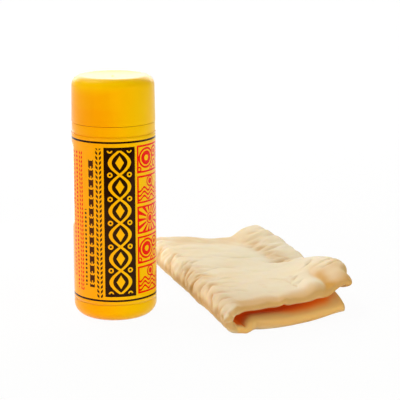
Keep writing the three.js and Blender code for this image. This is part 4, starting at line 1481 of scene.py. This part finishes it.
class SCENE_OT_stage(bpy.types.Operator):
    """The paper sweep, the softboxes, the room's light and the camera"""

    bl_idname = "chamois.stage"
    bl_label = "Stage"

    def execute(self, context):
        sizes = context.scene.stage_sizes
        self.sweep(sizes, context.scene.chamois_finishes.floor)
        for name, place, target, size, power, colour in SOFTBOXES:
            self.softbox(name, Vector(place), Vector(target), size, power, linear(colour)[:3])
        self.room(context.scene)
        self.camera(context.scene, sizes)
        context.scene.view_settings.view_transform = "Standard"
        return {"FINISHED"}

    def sweep(self, sizes, colour):
        """Paper that lies flat, then curves up into a backdrop."""
        bend, tall = 0.5, 2.2
        line = [(-sizes.front, 0.0), *arc((sizes.back, bend), bend, -90, 0, 24),
                (sizes.back + bend, tall)]
        points = [(x, y, z) for y, z in line for x in (-sizes.half_width, sizes.half_width)]
        faces = [(2 * i, 2 * i + 1, 2 * i + 3, 2 * i + 2) for i in range(len(line) - 1)]
        floor = mesh_from("paper_sweep", points, faces)
        floor.data.shade_smooth()
        floor.data.materials.append(paper("studio_paper", colour))

    def softbox(self, name, place, target, size, power, colour):
        """A soft rectangular lamp that the camera doesn't see."""
        lamp = bpy.data.lights.new(name, "AREA")
        lamp.shape = "RECTANGLE"
        lamp.size, lamp.size_y = size
        lamp.energy, lamp.color = power, colour
        box = bpy.data.objects.new(name, lamp)
        box.location = place
        box.rotation_euler = (target - place).to_track_quat("-Z", "Y").to_euler()
        box.visible_camera = False
        bpy.context.scene.collection.objects.link(box)

    def room(self, scene):
        """Even light from all round, and white where the camera sees past the paper.

        Gloss shows the room's walls, and a dark floor past the paper's edge.
        """
        world = bpy.data.worlds.new("room")
        world.use_nodes = True
        tree = world.node_tree
        tree.nodes.clear()
        path = add(tree, "ShaderNodeLightPath").outputs
        way = add(tree, "ShaderNodeSeparateXYZ", [add(tree, "ShaderNodeTexCoord")]).outputs["Z"]
        even, floor, walls = 0.28, 0.03, 0.5
        glossy = add(tree, RANGE, (way, -0.06, 0.02, floor, walls))
        strength = add(tree, "ShaderNodeMix",
                       {"Factor": path["Is Glossy Ray"], "A": even, "B": glossy},
                       data_type="FLOAT")
        room, white = [add(tree, "ShaderNodeBackground", ((1, 1, 1, 1), bright))
                       for bright in (strength, 1.0)]
        seen = either(tree, path["Is Camera Ray"], path["Is Transmission Ray"])
        whole = add(tree, "ShaderNodeMixShader", (seen, room, white))
        add(tree, "ShaderNodeOutputWorld", [whole])
        scene.world = world

    def camera(self, scene, sizes):
        """A long lens in front, a little above the set and turned slightly to the right."""
        lens = bpy.data.cameras.new("camera")
        lens.lens, lens.sensor_width = sizes.lens, 36.0
        seat = bpy.data.objects.new("camera", lens)
        seat.matrix_world = Matrix.Translation(CAMERA_PLACE) @ (
            Matrix.Rotation(math.radians(-CAMERA_TURN), 4, "Z")
            @ Matrix.Rotation(math.radians(90 - CAMERA_DIP), 4, "X"))
        scene.collection.objects.link(seat)
        scene.camera = seat


class VIEW3D_PT_chamois(bpy.types.Panel):
    """Sizes, colours and the steps that make each piece"""

    bl_label = "Chamois Cloth and Canister"
    bl_idname = "VIEW3D_PT_chamois"
    bl_space_type = "VIEW_3D"
    bl_region_type = "UI"
    bl_category = "Chamois"

    def draw(self, context):
        layout = self.layout
        for operator in OPERATORS:
            layout.operator(operator.bl_idname)
        for group, _ in SETTINGS:
            box = layout.box()
            settings = getattr(context.scene, group)
            for name in settings.__annotations__:
                box.prop(settings, name)


OPERATORS = (
    SCENE_OT_stage,
    SCENE_OT_canister_body,
    SCENE_OT_canister_label,
    SCENE_OT_canister_cap,
    SCENE_OT_cap_seal,
    SCENE_OT_chamois_cloth,
)
SETTINGS = (
    ("canister_sizes", CanisterSizes),
    ("cloth_sizes", ClothSizes),
    ("chamois_finishes", Finishes),
    ("stage_sizes", StageSizes),
)


def register():
    for group, kind in SETTINGS:
        bpy.utils.register_class(kind)
        setattr(bpy.types.Scene, group, PointerProperty(type=kind))
    for kind in (*OPERATORS, VIEW3D_PT_chamois):
        bpy.utils.register_class(kind)


def unregister():
    for kind in reversed((*OPERATORS, VIEW3D_PT_chamois)):
        bpy.utils.unregister_class(kind)
    for group, kind in reversed(SETTINGS):
        delattr(bpy.types.Scene, group)
        bpy.utils.unregister_class(kind)


def main():
    register()
    bpy.ops.chamois.stage()
    bpy.ops.chamois.canister_body()
    bpy.ops.chamois.canister_label()
    bpy.ops.chamois.canister_cap()
    bpy.ops.chamois.cap_seal()
    bpy.ops.chamois.chamois_cloth()


if __name__ == "__main__":
    main()
